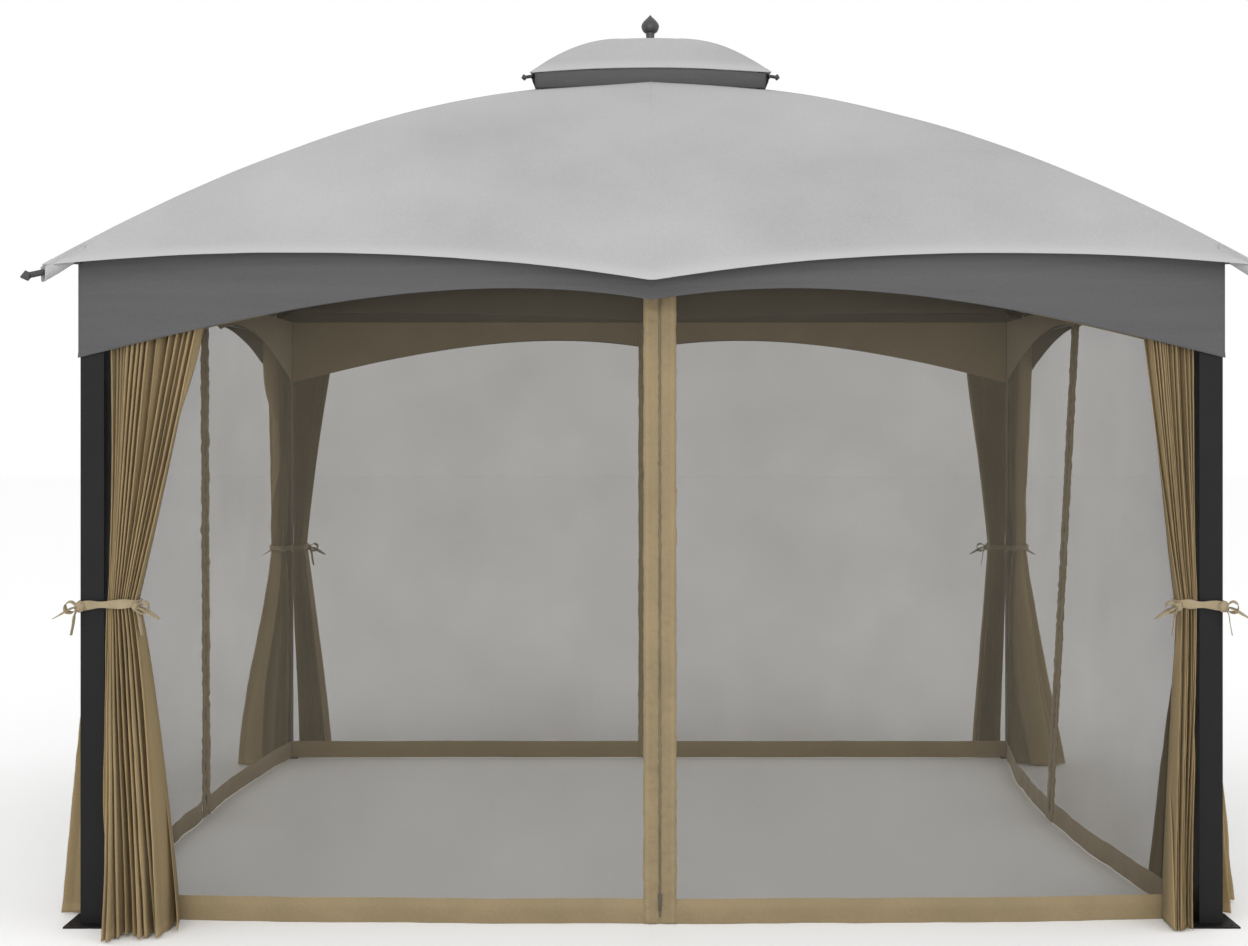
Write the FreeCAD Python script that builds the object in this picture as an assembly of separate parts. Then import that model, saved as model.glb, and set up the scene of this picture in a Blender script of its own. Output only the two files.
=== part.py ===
import FreeCAD, Part
import os

# Screen house: a four-post shelter with a two-tier fabric roof, netting walls and tied-back curtains.
# Millimetres, +Z up, +X right, the front faces -Y. The origin is on the ground below the finial.

V = FreeCAD.Vector
UP = V(0, 0, 1)

# Plan of the frame
POST_X = 1675.0
POST_Y = 1370.0
POST_SIDE = 70.0
POST_WALL = 2.0
POST_TOP = 1966.0
PLATE_SIDE = 150.0
PLATE_THICK = 5.0
PLATE_HOLE_R = 5.5
PLATE_HOLE_PITCH = 110.0

# Beams between the posts, made of two halves and a sleeve
BEAM_SIDE = 40.0
BEAM_WALL = 1.5
BEAM_TOP = 1966.0
SLEEVE_LENGTH = 120.0
SLEEVE_WALL = 2.7
SLEEVE_GAP = 0.3
SLEEVE_LIP = 8.0
BEAM_JOINT_GAP = 1.0
BEAM_BOLT_GAP = 6.0

# Corner brackets and their bolts
BRACKET_PLUG_DEPTH = 60.0
BRACKET_PLUG_GAP = 0.2
BRACKET_CAP_THICK = 6.0
BRACKET_STEM_SIDE = 34.0
BRACKET_STEM_TOP = 1992.0
BOLT_R = 4.0
BOLT_HOLE_GAP = 0.1
BOLT_HEAD_R = 7.5
BOLT_HEAD_THICK = 5.0
BOLT_LENGTH = 45.0
BOLT_Z = 1946.0

# Main roof: control points of its curves, in the front left corner
ROOF_TIP = V(-1795, -1490, 1966)
ROOF_HIP_BEND = V(-1102.5, -915, 2520)
ROOF_RING = V(-410, -340, 2715)
ROOF_EAVE_MID_Z = 1925.0
ROOF_EAVE_BEND_Z = 2070.0
ROOF_EAVE_BEND_INSET = 90.0
ROOF_MID_BEND_Z = 2529.0
ROOF_RING_MID_Z = 2745.0
ROOF_CLOTH = 3.0

# Vent roof above the main one
VENT_TIP = V(-433, -361, 2771)
VENT_HIP_BEND = V(-223.5, -186.5, 2971)
VENT_TOP = V(-14, -12, 2960)
VENT_EAVE_BEND_Z = 2810.0
VENT_EAVE_BEND_INSET = 10.0
VENT_CLOTH = 3.0
SKIRT_TOP_HALF = (425.0, 353.0)
SKIRT_TOP_Z = 2765.0
SKIRT_FOOT_HALF = (417.0, 346.5)
SKIRT_FOOT_Z = 2749.0
SKIRT_CLOTH = 2.0
SKIRT_NOTCH_R = 27.0

# Rafters below the cloth
RAFTER_WIDTH = 25.0
RAFTER_DEPTH = 28.0
RAFTER_WALL = 1.5
HIP_RAFTER_DROP = 17.0
MID_RAFTER_DROP = 7.0
HIP_RAFTER_START = 0.006
MID_RAFTER_START = 0.035
OPEN_END = 0.01
CUT_OVERRUN = 1.0
CAP_DROP = 22.0
CAP_NECK_R = 9.0
CAP_HEAD_R = 16.0
CAP_LENGTH = 72.0
CAP_SLOPE = 0.27
CAP_NECK_SHARE = 0.6
CAP_FLARE_SHARE = 0.14
CAP_POINT_SHARE = 0.15
RING_TUBE = 25.0
RING_DROP = 40.0
RING_RISE = 5.0
SOCKET_R = 22.0
SOCKET_GAP = 2.0
VENT_RAFTER_WIDTH = 16.0
VENT_RAFTER_DEPTH = 14.0
VENT_RAFTER_DROP = 15.0
VENT_RAFTER_START = 0.02
VENT_CAP_DROP = 16.0
VENT_CAP_NECK_R = 6.0
VENT_CAP_HEAD_R = 11.0
VENT_CAP_LENGTH = 44.0
VENT_LEG_R = 8.0
VENT_LEG_X = 388.0
VENT_LEG_Y = 321.0
VENT_LEG_GAP = 8.0
HUB_R = 40.0
HUB_BOTTOM = 2918.0
HUB_TOP = 2952.0
FINIAL_STEM_R = 6.0
FINIAL_STEM_GAP = 0.05
FINIAL_FOOT = 2922.0
# Radius and height of the finial's turned base, its bowl and its point
FINIAL_BASE = ((6.0, 2962.0), (20.0, 2962.0), (20.0, 2968.0), (15.0, 2974.0), (17.0, 2996.0))
FINIAL_BOWL = ((17.0, 2996.0), (31.0, 3000.0), (34.0, 3022.0))
FINIAL_POINT = ((34.0, 3022.0), (32.0, 3040.0), (13.0, 3050.0), (0.0, 3067.0))

# Valance round the outside of the posts
VALANCE_GAP = 3.0
VALANCE_CLOTH = 2.0
VALANCE_TOP = 1979.0
VALANCE_NOTCH = 40.0
VALANCE_NOTCH_Z = 1950.0
VALANCE_CORNER_Z = 1698.0
VALANCE_BENDS_Z = (1841.0, 1970.0)
VALANCE_MIDDLE_Z = 1871.0

# Rails: the netting runs on the inner faces of the beams, the curtains below them
NET_RAIL_DEPTH = 18.0
NET_RAIL_Z = (1938.0, 1958.0)
CURTAIN_RAIL_Z = (1910.0, 1926.0)
CURTAIN_RAIL_WIDTH = 18.0
CURTAIN_RAIL_OFFSET = 8.0
RAIL_WALL = 2.0
RAIL_SLOT = 5.0
RAIL_END_GAP = 0.5
RAIL_BOLT_GAP = 7.0
GLIDER_LENGTH = 20.0
GLIDER_GAP = 0.5
GLIDER_NECK = 4.0

# Netting walls
NET_INSET = 45.0
NET_THICK = 2.0
NET_TOP = 1985.0
NET_FOOT = 6.0
NET_CORNER_GAP = 8.0
NET_PANEL_GAP = 2.0
FLAP_WIDTH = 50.0
FLAP_THICK = 3.0
ZIP_GAP = 3.0
# Each wall's zip: its place along the wall at the top and the foot, and how far out the foot hangs
ZIP_LINE = {
    "front": (25.0, 25.0, 70.0),
    "back": (0.0, 0.0, 0.0),
    "left": (-250.0, 100.0, 85.0),
    "right": (30.0, 30.0, -105.0),
}
SLIDER_Z = 80.0
SLIDER_HEIGHT = 22.0
SLIDER_WIDTH = 12.0
SLIDER_PLATE = 2.5
SLIDER_GAP = 0.6
TAB_LENGTH = 45.0
TAB_WIDTH = 7.0
TAB_THICK = 1.5

# Curtains, tied back beside each post. Each station is a height, a width, and how far its inner and outer
# folds stand out from the post's centre line. The side walls' curtains are flatter at the tie.
CURTAIN_TOP = 1880.0
CURTAIN_TOP_WIDTH = 290.0
CURTAIN_POST_GAP = 8.0
CURTAIN_ROUNDING = 0.2
CURTAIN_TIE_Z = 958.0
CURTAIN_TIE_WIDTH = 95.0
CURTAIN_TIE_IN = 17.0
CURTAIN_TIE_OUT = {True: 70.0, False: 38.0}
CURTAIN_UPPER = ((1880.0, 290.0, -17.0, 30.0), (1500.0, 200.0, -17.0, 32.0), (1078.0, 115.0, -17.0, 36.0))
CURTAIN_LOWER = ((808.0, 125.0, -15.0, 80.0), (450.0, 175.0, 0.0, 130.0), (6.0, 205.0, 15.0, 190.0))
LEAD_RING_R = 8.0
LEAD_WIRE_R = 1.5
LEAD_RING_LIFT = 13.5
TIE_HEIGHT = 22.0
TIE_THICK = 3.0
TIE_GAP = 6.0

CORNERS = {"front_left": (-1, -1), "front_right": (1, -1), "back_left": (-1, 1), "back_right": (1, 1)}
# Each wall: is it along X, and which side of the origin it stands on
WALLS = {"front": (True, -1), "back": (True, 1), "left": (False, -1), "right": (False, 1)}


def box(low, high):
    """A box between two opposite corners."""
    lo = V(*(min(a, b) for a, b in zip(low, high)))
    hi = V(*(max(a, b) for a, b in zip(low, high)))
    return Part.makeBox(hi.x - lo.x, hi.y - lo.y, hi.z - lo.z, lo)


def mirrored(shape, sx, sy):
    """The front left shape, moved to the corner on the sides sx and sy."""
    if sx > 0:
        shape = shape.mirror(V(), V(1, 0, 0))
    if sy > 0:
        shape = shape.mirror(V(), V(0, 1, 0))
    return shape


def on_wall(wall, along, out, z):
    """A point given along a wall, outward from the origin and up."""
    along_x, side = WALLS[wall]
    return (along, side * out, z) if along_x else (side * out, along, z)


def wall_half(wall):
    """Half the clear length between a wall's posts, and the distance out to its post centres."""
    along_x = WALLS[wall][0]
    return (POST_X - POST_SIDE / 2, POST_Y) if along_x else (POST_Y - POST_SIDE / 2, POST_X)


def tube(low, high, axis, wall):
    """A rectangular tube along one axis, 0 for X to 2 for Z."""
    low, high = [min(pair) for pair in zip(low, high)], [max(pair) for pair in zip(low, high)]
    inner_low = [v + (0 if i == axis else wall) for i, v in enumerate(low)]
    inner_high = [v - (0 if i == axis else wall) for i, v in enumerate(high)]
    return box(low, high).cut(box(inner_low, inner_high))


def quadratic(a, b, c, t):
    """A point of the quadratic curve with control points a, b and c."""
    return a * ((1 - t) ** 2) + b * (2 * t * (1 - t)) + c * (t * t)


def curve_edge(points):
    curve = Part.BezierCurve()
    curve.setPoles(points)
    return curve.toShape()


def patch_face(rows):
    """A single curved face whose control points are these rows."""
    u_degree, v_degree = len(rows) - 1, len(rows[0]) - 1
    surface = Part.BSplineSurface()
    ends_u, ends_v = [u_degree + 1] * 2, [v_degree + 1] * 2
    surface.buildFromPolesMultsKnots(rows, ends_u, ends_v, [0, 1], [0, 1], False, False, u_degree, v_degree)
    return surface.toShape()


def blended_rows(eave, ring, first, last):
    """Control points of a patch between an eave and a ring curve, first and last being its side bends."""
    corners = (eave[0] + eave[2] + ring[0] + ring[2]) * 0.25
    middle = (first + last + eave[1] + ring[1]) * 0.5 - corners
    return [eave, [first, middle, last], ring]


def cloth_solid(patches, thick):
    """A closed cloth: the patches, the same ones lower by thick, and the rims at the eave and the ring."""
    drop = UP * -thick
    faces = []
    for rows in patches:
        lower = [[pole + drop for pole in row] for row in rows]
        faces += [patch_face(rows), patch_face(lower)]
        for row, low_row in ((rows[0], lower[0]), (rows[-1], lower[-1])):
            faces.append(patch_face([row, low_row]))
    shell = Part.makeShell(faces)
    shell.sewShape()
    solid = Part.makeSolid(Part.makeShell(shell.Faces))
    if solid.Volume < 0:
        solid.reverse()
    return solid


def on_middle(along_x, point, z):
    """A point brought to the middle of the long sides, or of the short ones, at a height."""
    return V(0, point.y, z) if along_x else V(point.x, 0, z)


def roof_half_side(sx, sy, along_x):
    """One of the eight patches of the main roof, from a hip to a middle rafter."""
    def place(point):
        return V(-sx * point.x, -sy * point.y, point.z)

    tip, bend, ring = ROOF_TIP, ROOF_HIP_BEND, ROOF_RING
    foot = on_middle(along_x, tip, ROOF_EAVE_MID_Z)
    top = on_middle(along_x, ring, ROOF_RING_MID_Z)
    inset = V(0, ROOF_EAVE_BEND_INSET, 0) if along_x else V(ROOF_EAVE_BEND_INSET, 0, 0)
    eave_bend = (tip + foot) * 0.5 + inset
    eave_bend.z = ROOF_EAVE_BEND_Z
    ring_bend = (ring + top) * 0.5
    mid_bend = on_middle(along_x, bend, ROOF_MID_BEND_Z)
    rows = blended_rows([tip, eave_bend, foot], [ring, ring_bend, top], bend, mid_bend)
    return [[place(pole) for pole in row] for row in rows]


def roof_canopy():
    sides = [(sx, sy, along) for sx in (-1, 1) for sy in (-1, 1) for along in (True, False)]
    return cloth_solid([roof_half_side(*side) for side in sides], ROOF_CLOTH)


def vent_side(side, along_x):
    """One of the four patches of the vent roof, from corner to corner."""
    def place(point, sign):
        if along_x:
            return V(sign * -point.x, -side * point.y, point.z)
        return V(-side * point.x, sign * -point.y, point.z)

    def curve(point, bend_z, inset):
        first, last = place(point, -1), place(point, 1)
        inward = V(0, -side * inset, 0) if along_x else V(-side * inset, 0, 0)
        bend = (first + last) * 0.5 + inward
        bend.z = bend_z
        return [first, bend, last]

    eave = curve(VENT_TIP, VENT_EAVE_BEND_Z, VENT_EAVE_BEND_INSET)
    ring = curve(VENT_TOP, VENT_TOP.z, 0)
    return blended_rows(eave, ring, place(VENT_HIP_BEND, -1), place(VENT_HIP_BEND, 1))


def vent_canopy():
    sides = [(side, along) for side in (-1, 1) for along in (True, False)]
    return cloth_solid([vent_side(*side) for side in sides], VENT_CLOTH)


def rectangle_wire(half_x, half_y, z):
    points = [V(-half_x, -half_y, z), V(half_x, -half_y, z), V(half_x, half_y, z), V(-half_x, half_y, z)]
    return Part.makePolygon(points + points[:1])


def vent_skirt():
    """A slanted band that closes the sides between the two roofs."""
    def body(less, extra):
        (tx, ty), (fx, fy) = SKIRT_TOP_HALF, SKIRT_FOOT_HALF
        slope_x = (tx - fx) / (SKIRT_TOP_Z - SKIRT_FOOT_Z) * extra
        slope_y = (ty - fy) / (SKIRT_TOP_Z - SKIRT_FOOT_Z) * extra
        top = rectangle_wire(tx - less + slope_x, ty - less + slope_y, SKIRT_TOP_Z + extra)
        foot = rectangle_wire(fx - less - slope_x, fy - less - slope_y, SKIRT_FOOT_Z - extra)
        return Part.makeLoft([foot, top], True, True)

    band = body(0, 0).cut(body(SKIRT_CLOTH * 2, CUT_OVERRUN))
    for sx, sy in CORNERS.values():
        corner = V(sx * SKIRT_TOP_HALF[0], sy * SKIRT_TOP_HALF[1], SKIRT_FOOT_Z - CUT_OVERRUN)
        height = SKIRT_TOP_Z - SKIRT_FOOT_Z + 2 * CUT_OVERRUN
        band = band.cut(Part.makeCylinder(SKIRT_NOTCH_R, height, corner))
    return band


def bent_prism(curve, half_width, inset, depth, t0, t1):
    """A solid under a quadratic curve, from t0 to t1 of its length, inset from the top and the foot."""
    start, bend, end = curve
    across = (end - start).cross(UP)
    across.normalize()
    first, last = quadratic(*curve, t0), quadratic(*curve, t1)
    slope = (bend - start) * (2 * (1 - t0)) + (end - bend) * (2 * t0)
    poles = [first, first + slope * ((t1 - t0) / 2), last]
    upper, lower = lowered(poles, inset), lowered(poles, depth - inset)
    edges = [curve_edge(upper), Part.makeLine(upper[2], lower[2])]
    edges += [curve_edge(lower), Part.makeLine(lower[0], upper[0])]
    face = Part.Face(Part.Wire(Part.__sortEdges__(edges)))
    face.translate(across * -half_width)
    return face.extrude(across * (2 * half_width))


def bent_tube(curve, width, depth, t0, t1):
    """A bent rectangular tube, open at both ends."""
    outer = bent_prism(curve, width / 2, 0, depth, t0, t1)
    bore = bent_prism(curve, width / 2 - RAFTER_WALL, RAFTER_WALL, depth, t0 - OPEN_END, t1 + OPEN_END)
    return outer.cut(bore)


def lowered(points, drop):
    return [p - UP * drop for p in points]


def share_short_of(start, end, distance):
    """How far along the plan line from start to end a point is that stops short of end by distance."""
    flat = V(end.x - start.x, end.y - start.y, 0)
    return 1 - distance / flat.Length


def hip_rafters():
    stop = share_short_of(ROOF_TIP, ROOF_RING, SOCKET_R + SOCKET_GAP)
    curve = lowered([ROOF_TIP, ROOF_HIP_BEND, ROOF_RING], HIP_RAFTER_DROP)
    bar = bent_tube(curve, RAFTER_WIDTH, RAFTER_DEPTH, HIP_RAFTER_START, stop)
    return Part.makeCompound([mirrored(bar, *corner) for corner in CORNERS.values()])


def mid_rafters():
    bars = []
    for along_x in (True, False):
        points = [on_middle(along_x, ROOF_TIP, ROOF_EAVE_MID_Z)]
        points.append(on_middle(along_x, ROOF_HIP_BEND, ROOF_MID_BEND_Z))
        points.append(on_middle(along_x, ROOF_RING, ROOF_RING_MID_Z))
        stop = share_short_of(points[0], points[2], RING_TUBE / 2 + SOCKET_GAP)
        curve = lowered(points, MID_RAFTER_DROP)
        bar = bent_tube(curve, RAFTER_WIDTH, RAFTER_DEPTH, MID_RAFTER_START, stop)
        bars += [bar, mirrored(bar, 0, 1) if along_x else mirrored(bar, 1, 0)]
    return Part.makeCompound(bars)


def roof_ring():
    """The welded rectangle at the top of the main roof, with a socket at each corner."""
    x, y, half = -ROOF_RING.x, -ROOF_RING.y, RING_TUBE / 2
    top = ROOF_RING.z - HIP_RAFTER_DROP + RING_RISE
    bottom = top - RING_TUBE
    frame = box((-x - half, -y - half, bottom), (x + half, y + half, top))
    opening_low = (half - x, half - y, bottom - CUT_OVERRUN)
    frame = frame.cut(box(opening_low, (x - half, y - half, top + CUT_OVERRUN)))
    for sx, sy in CORNERS.values():
        frame = frame.fuse(Part.makeCylinder(SOCKET_R, RING_DROP, V(sx * x, sy * y, top - RING_DROP)))
    return frame.removeSplitter()


def pointed_cap(start, direction, neck_r, head_r, length):
    """A round end cap: a neck, then a head that widens and comes to a point."""
    direction = V(direction)
    direction.normalize()
    neck, flare = length * CAP_NECK_SHARE, length * CAP_FLARE_SHARE
    widest = start + direction * (neck + flare)
    body = Part.makeCylinder(neck_r, neck, start, direction)
    body = body.fuse(Part.makeCone(neck_r, head_r, flare, start + direction * neck, direction))
    point = Part.makeCone(head_r, head_r * CAP_POINT_SHARE, length - neck - flare, widest, direction)
    return body.fuse(point).removeSplitter()


def rafter_caps():
    """End caps that come out below the cloth at each corner of the main roof."""
    start = quadratic(ROOF_TIP, ROOF_HIP_BEND, ROOF_RING, HIP_RAFTER_START / 2) - UP * CAP_DROP
    flat = V(ROOF_TIP.x, ROOF_TIP.y, 0)
    direction = flat - UP * (flat.Length * CAP_SLOPE)
    cap = pointed_cap(start, direction, CAP_NECK_R, CAP_HEAD_R, CAP_LENGTH)
    return Part.makeCompound([mirrored(cap, *corner) for corner in CORNERS.values()])


def vent_bar_curve():
    return lowered([VENT_TIP, VENT_HIP_BEND, VENT_TOP], VENT_RAFTER_DROP)


def vent_rafters():
    curve = vent_bar_curve()
    flat_top = V(VENT_TOP.x, VENT_TOP.y, 0)
    stop = share_short_of(VENT_TIP, VENT_TOP, HUB_R + SOCKET_GAP - flat_top.Length)
    bar = bent_tube(curve, VENT_RAFTER_WIDTH, VENT_RAFTER_DEPTH, VENT_RAFTER_START, stop)
    return Part.makeCompound([mirrored(bar, *corner) for corner in CORNERS.values()])


def vent_caps():
    start = quadratic(VENT_TIP, VENT_HIP_BEND, VENT_TOP, VENT_RAFTER_START / 2) - UP * VENT_CAP_DROP
    flat = V(VENT_TIP.x, VENT_TIP.y, 0)
    direction = flat - UP * (flat.Length * CAP_SLOPE)
    cap = pointed_cap(start, direction, VENT_CAP_NECK_R, VENT_CAP_HEAD_R, VENT_CAP_LENGTH)
    return Part.makeCompound([mirrored(cap, *corner) for corner in CORNERS.values()])


def vent_legs():
    """Short legs that carry the vent roof's rafters above the ring."""
    foot = ROOF_RING.z - HIP_RAFTER_DROP + RING_RISE
    share = (VENT_TIP.x + VENT_LEG_X) / (VENT_TIP.x - VENT_TOP.x)
    top = quadratic(*vent_bar_curve(), share).z - VENT_RAFTER_DEPTH - VENT_LEG_GAP
    leg = Part.makeCylinder(VENT_LEG_R, top - foot, V(-VENT_LEG_X, -VENT_LEG_Y, foot))
    return Part.makeCompound([mirrored(leg, *corner) for corner in CORNERS.values()])


def vent_hub():
    height = HUB_TOP - HUB_BOTTOM
    hub = Part.makeCylinder(HUB_R, height, V(0, 0, HUB_BOTTOM))
    bore = Part.makeCylinder(FINIAL_STEM_R + FINIAL_STEM_GAP, height * 3, V(0, 0, HUB_BOTTOM - height))
    return hub.cut(bore)


def finial():
    """A turned bud with a stem that goes down into the hub."""
    stem = [(0, FINIAL_FOOT), (FINIAL_STEM_R, FINIAL_FOOT)]
    outlines = (FINIAL_BASE, FINIAL_BOWL, FINIAL_POINT)
    base, bowl, point = ([V(r, 0, z) for r, z in outline] for outline in outlines)
    lower = [V(r, 0, z) for r, z in stem] + base
    edges = [Part.makeLine(a, b) for a, b in zip(lower, lower[1:])]
    edges += [curve_edge(bowl), curve_edge(point)]
    edges.append(Part.makeLine(point[-1], lower[0]))
    face = Part.Face(Part.Wire(Part.__sortEdges__(edges)))
    return face.revolve(V(), UP, 360)


def post(sx, sy):
    half = POST_SIDE / 2
    x, y = sx * POST_X, sy * POST_Y
    shape = tube((x - half, y - half, PLATE_THICK), (x + half, y + half, POST_TOP), 2, POST_WALL)
    return shape.cut(bolt_hole(sx, sy))


def bolt_hole(sx, sy):
    start = V(sx * (POST_X + POST_SIDE), sy * POST_Y, BOLT_Z)
    return Part.makeCylinder(BOLT_R + BOLT_HOLE_GAP, POST_SIDE * 2, start, V(-sx, 0, 0))


def base_plates():
    half, pitch, plates = PLATE_SIDE / 2, PLATE_HOLE_PITCH / 2, []
    for sx, sy in CORNERS.values():
        x, y = sx * POST_X, sy * POST_Y
        plate = box((x - half, y - half, 0), (x + half, y + half, PLATE_THICK))
        for hx, hy in CORNERS.values():
            start = V(x + hx * pitch, y + hy * pitch, -PLATE_THICK)
            plate = plate.cut(Part.makeCylinder(PLATE_HOLE_R, PLATE_THICK * 3, start))
        plates.append(plate)
    return Part.makeCompound(plates)


def corner_brackets():
    """A plug in each post's top, with a cap and a stem that carries the hip rafter."""
    plug = POST_SIDE / 2 - POST_WALL - BRACKET_PLUG_GAP
    cap, stem = POST_SIDE / 2, BRACKET_STEM_SIDE / 2
    shapes = []
    for sx, sy in CORNERS.values():
        x, y = sx * POST_X, sy * POST_Y
        shape = box((x - plug, y - plug, POST_TOP - BRACKET_PLUG_DEPTH), (x + plug, y + plug, POST_TOP))
        cap_top = POST_TOP + BRACKET_CAP_THICK
        shape = shape.fuse(box((x - cap, y - cap, POST_TOP), (x + cap, y + cap, cap_top)))
        shape = shape.fuse(box((x - stem, y - stem, cap_top), (x + stem, y + stem, BRACKET_STEM_TOP)))
        shapes.append(shape.removeSplitter().cut(bolt_hole(sx, sy)))
    return Part.makeCompound(shapes)


def frame_bolts():
    """Bolts that hold each corner bracket in its post, sideways through the post's wall."""
    bolts = []
    for sx, sy in CORNERS.values():
        face = V(sx * (POST_X - POST_SIDE / 2), sy * POST_Y, BOLT_Z)
        inward, outward = V(-sx, 0, 0), V(sx, 0, 0)
        head = Part.makeCylinder(BOLT_HEAD_R, BOLT_HEAD_THICK, face, inward)
        shank = Part.makeCylinder(BOLT_R, BOLT_LENGTH, face, outward)
        bolts.append(head.fuse(shank).removeSplitter())
    return Part.makeCompound(bolts)


def beams(walls):
    """The two half beams of each of these walls."""
    half, shapes = BEAM_SIDE / 2, []
    for wall in walls:
        length, out = wall_half(wall)
        axis, end_gap = (0, BEAM_BOLT_GAP) if WALLS[wall][0] else (1, RAIL_END_GAP)
        for side in (-1, 1):
            low = on_wall(wall, side * BEAM_JOINT_GAP / 2, out - half, BEAM_TOP - BEAM_SIDE)
            high = on_wall(wall, side * (length - end_gap), out + half, BEAM_TOP)
            shapes.append(tube(low, high, axis, BEAM_WALL))
    return Part.makeCompound(shapes)


def beam_sleeves():
    """An angle over the top and the outer face of each pair of half beams, at their joint."""
    shapes = []
    inner, half = BEAM_SIDE / 2 + SLEEVE_GAP, SLEEVE_LENGTH / 2
    outer, top, foot = inner + SLEEVE_WALL, BEAM_TOP + SLEEVE_GAP, BEAM_TOP - SLEEVE_LIP
    for wall in WALLS:
        out = wall_half(wall)[1]
        corner = on_wall(wall, -half, out - inner, foot)
        shape = box(corner, on_wall(wall, half, out + outer, top + SLEEVE_WALL))
        beam = box(corner, on_wall(wall, half, out + inner, top))
        shapes.append(shape.cut(beam))
    return Part.makeCompound(shapes)


def net_rails():
    """Channels on the inner faces of the beams, open towards the inside."""
    shapes = []
    for wall in WALLS:
        length, out = wall_half(wall)
        face = out - BEAM_SIDE / 2
        end = length - RAIL_BOLT_GAP
        z0, z1 = NET_RAIL_Z
        middle = (z0 + z1) / 2
        shape = box(on_wall(wall, -end, face, z0), on_wall(wall, end, face - NET_RAIL_DEPTH, z1))
        inner_low = on_wall(wall, -end, face - RAIL_WALL, z0 + RAIL_WALL)
        inner_high = on_wall(wall, end, face - NET_RAIL_DEPTH + RAIL_WALL, z1 - RAIL_WALL)
        shape = shape.cut(box(inner_low, inner_high))
        slot_low = on_wall(wall, -end, face - NET_RAIL_DEPTH / 2, middle - RAIL_SLOT / 2)
        slot_high = on_wall(wall, end, face - NET_RAIL_DEPTH, middle + RAIL_SLOT / 2)
        shapes.append(shape.cut(box(slot_low, slot_high)))
    return Part.makeCompound(shapes)


def curtain_rail_out(wall):
    return wall_half(wall)[1] + CURTAIN_RAIL_OFFSET


def curtain_rails():
    """Channels below the beams, open downwards."""
    shapes = []
    for wall in WALLS:
        out = curtain_rail_out(wall)
        end = wall_half(wall)[0] - RAIL_BOLT_GAP
        half = CURTAIN_RAIL_WIDTH / 2
        z0, z1 = CURTAIN_RAIL_Z
        shape = box(on_wall(wall, -end, out - half, z0), on_wall(wall, end, out + half, z1))
        inner_low = on_wall(wall, -end, out - half + RAIL_WALL, z0 + RAIL_WALL)
        inner_high = on_wall(wall, end, out + half - RAIL_WALL, z1 - RAIL_WALL)
        shape = shape.cut(box(inner_low, inner_high))
        slot_low = on_wall(wall, -end, out - RAIL_SLOT / 2, z0)
        slot_high = on_wall(wall, end, out + RAIL_SLOT / 2, z0 + RAIL_WALL * 2)
        shapes.append(shape.cut(box(slot_low, slot_high)))
    return Part.makeCompound(shapes)


def valance_cut_point(along_x, along, z):
    """A point on the start plane of the cut that shapes the valance's lower edge."""
    return V(along, -2 * POST_X, z) if along_x else V(-2 * POST_X, along, z)


def valance():
    """A cloth band round the frame, with an arched lower edge on each half of each wall."""
    half_x = POST_X + POST_SIDE / 2 + VALANCE_GAP
    half_y = POST_Y + POST_SIDE / 2 + VALANCE_GAP
    over = VALANCE_CLOTH
    low = (-half_x - over, -half_y - over, VALANCE_CORNER_Z)
    band = box(low, (half_x + over, half_y + over, VALANCE_TOP))
    band = band.cut(box((-half_x, -half_y, 0), (half_x, half_y, VALANCE_TOP)))
    for along_x, half in ((True, half_x + over), (False, half_y + over)):
        for side in (-1, 1):
            end = side * half
            heights = (VALANCE_CORNER_Z, *VALANCE_BENDS_Z, VALANCE_MIDDLE_Z)
            shares = (1, 2 / 3, 1 / 3, 0)
            points = [valance_cut_point(along_x, end * share, z) for share, z in zip(shares, heights)]
            arch = curve_edge(points)
            below = [valance_cut_point(along_x, 0, 0), valance_cut_point(along_x, end, 0)]
            rest = [points[-1], *below, points[0]]
            lines = [Part.makeLine(a, b) for a, b in zip(rest, rest[1:])]
            face = Part.Face(Part.Wire(Part.__sortEdges__([arch] + lines)))
            way = V(0, 1, 0) if along_x else V(1, 0, 0)
            band = band.cut(face.extrude(way * (4 * POST_X)))
    half, long = VALANCE_NOTCH / 2, 2 * POST_X
    band = band.cut(box((-half, -long, VALANCE_NOTCH_Z), (half, long, VALANCE_TOP)))
    return band.cut(box((-long, -half, VALANCE_NOTCH_Z), (long, half, VALANCE_TOP)))


def net_out(wall):
    return wall_half(wall)[1] - NET_INSET


def zip_at(wall, z):
    """Where a wall's zip is along the wall, and how far out, at a height."""
    top, foot, foot_out = ZIP_LINE[wall]
    share = z / NET_TOP
    return foot + (top - foot) * share, net_out(wall) + foot_out * (1 - share)


def hanging_sheet(wall, near, far, thick):
    """A sheet between two edges of a wall. Each edge is its (along, out) at the top and at the foot."""
    wires = []
    for (top_along, top_out), (foot_along, foot_out) in (near, far):
        points = []
        for along, out, z in ((top_along, top_out, NET_TOP), (foot_along, foot_out, NET_FOOT)):
            pair = [V(*on_wall(wall, along, out + side * thick / 2, z)) for side in (-1, 1)]
            points += pair if not points else reversed(pair)
        wires.append(Part.makePolygon(points + points[:1]))
    return Part.makeLoft(wires, True, True)


def beside_zip(wall, offset):
    """The edge that runs along a wall's zip at this distance from it."""
    ends = [zip_at(wall, z) for z in (NET_TOP, NET_FOOT)]
    return [(along + offset, out) for along, out in ends]


def net_wall(wall):
    """The two netting panels of a wall, from the posts to the zip's flaps."""
    end = wall_half(wall)[0] + POST_SIDE / 2 - NET_INSET - NET_CORNER_GAP
    panels = []
    for side in (-1, 1):
        post_edge = [(side * end, net_out(wall))] * 2
        zip_edge = beside_zip(wall, side * (FLAP_WIDTH + NET_PANEL_GAP))
        panels.append(hanging_sheet(wall, post_edge, zip_edge, NET_THICK))
    return Part.makeCompound(panels)


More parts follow.
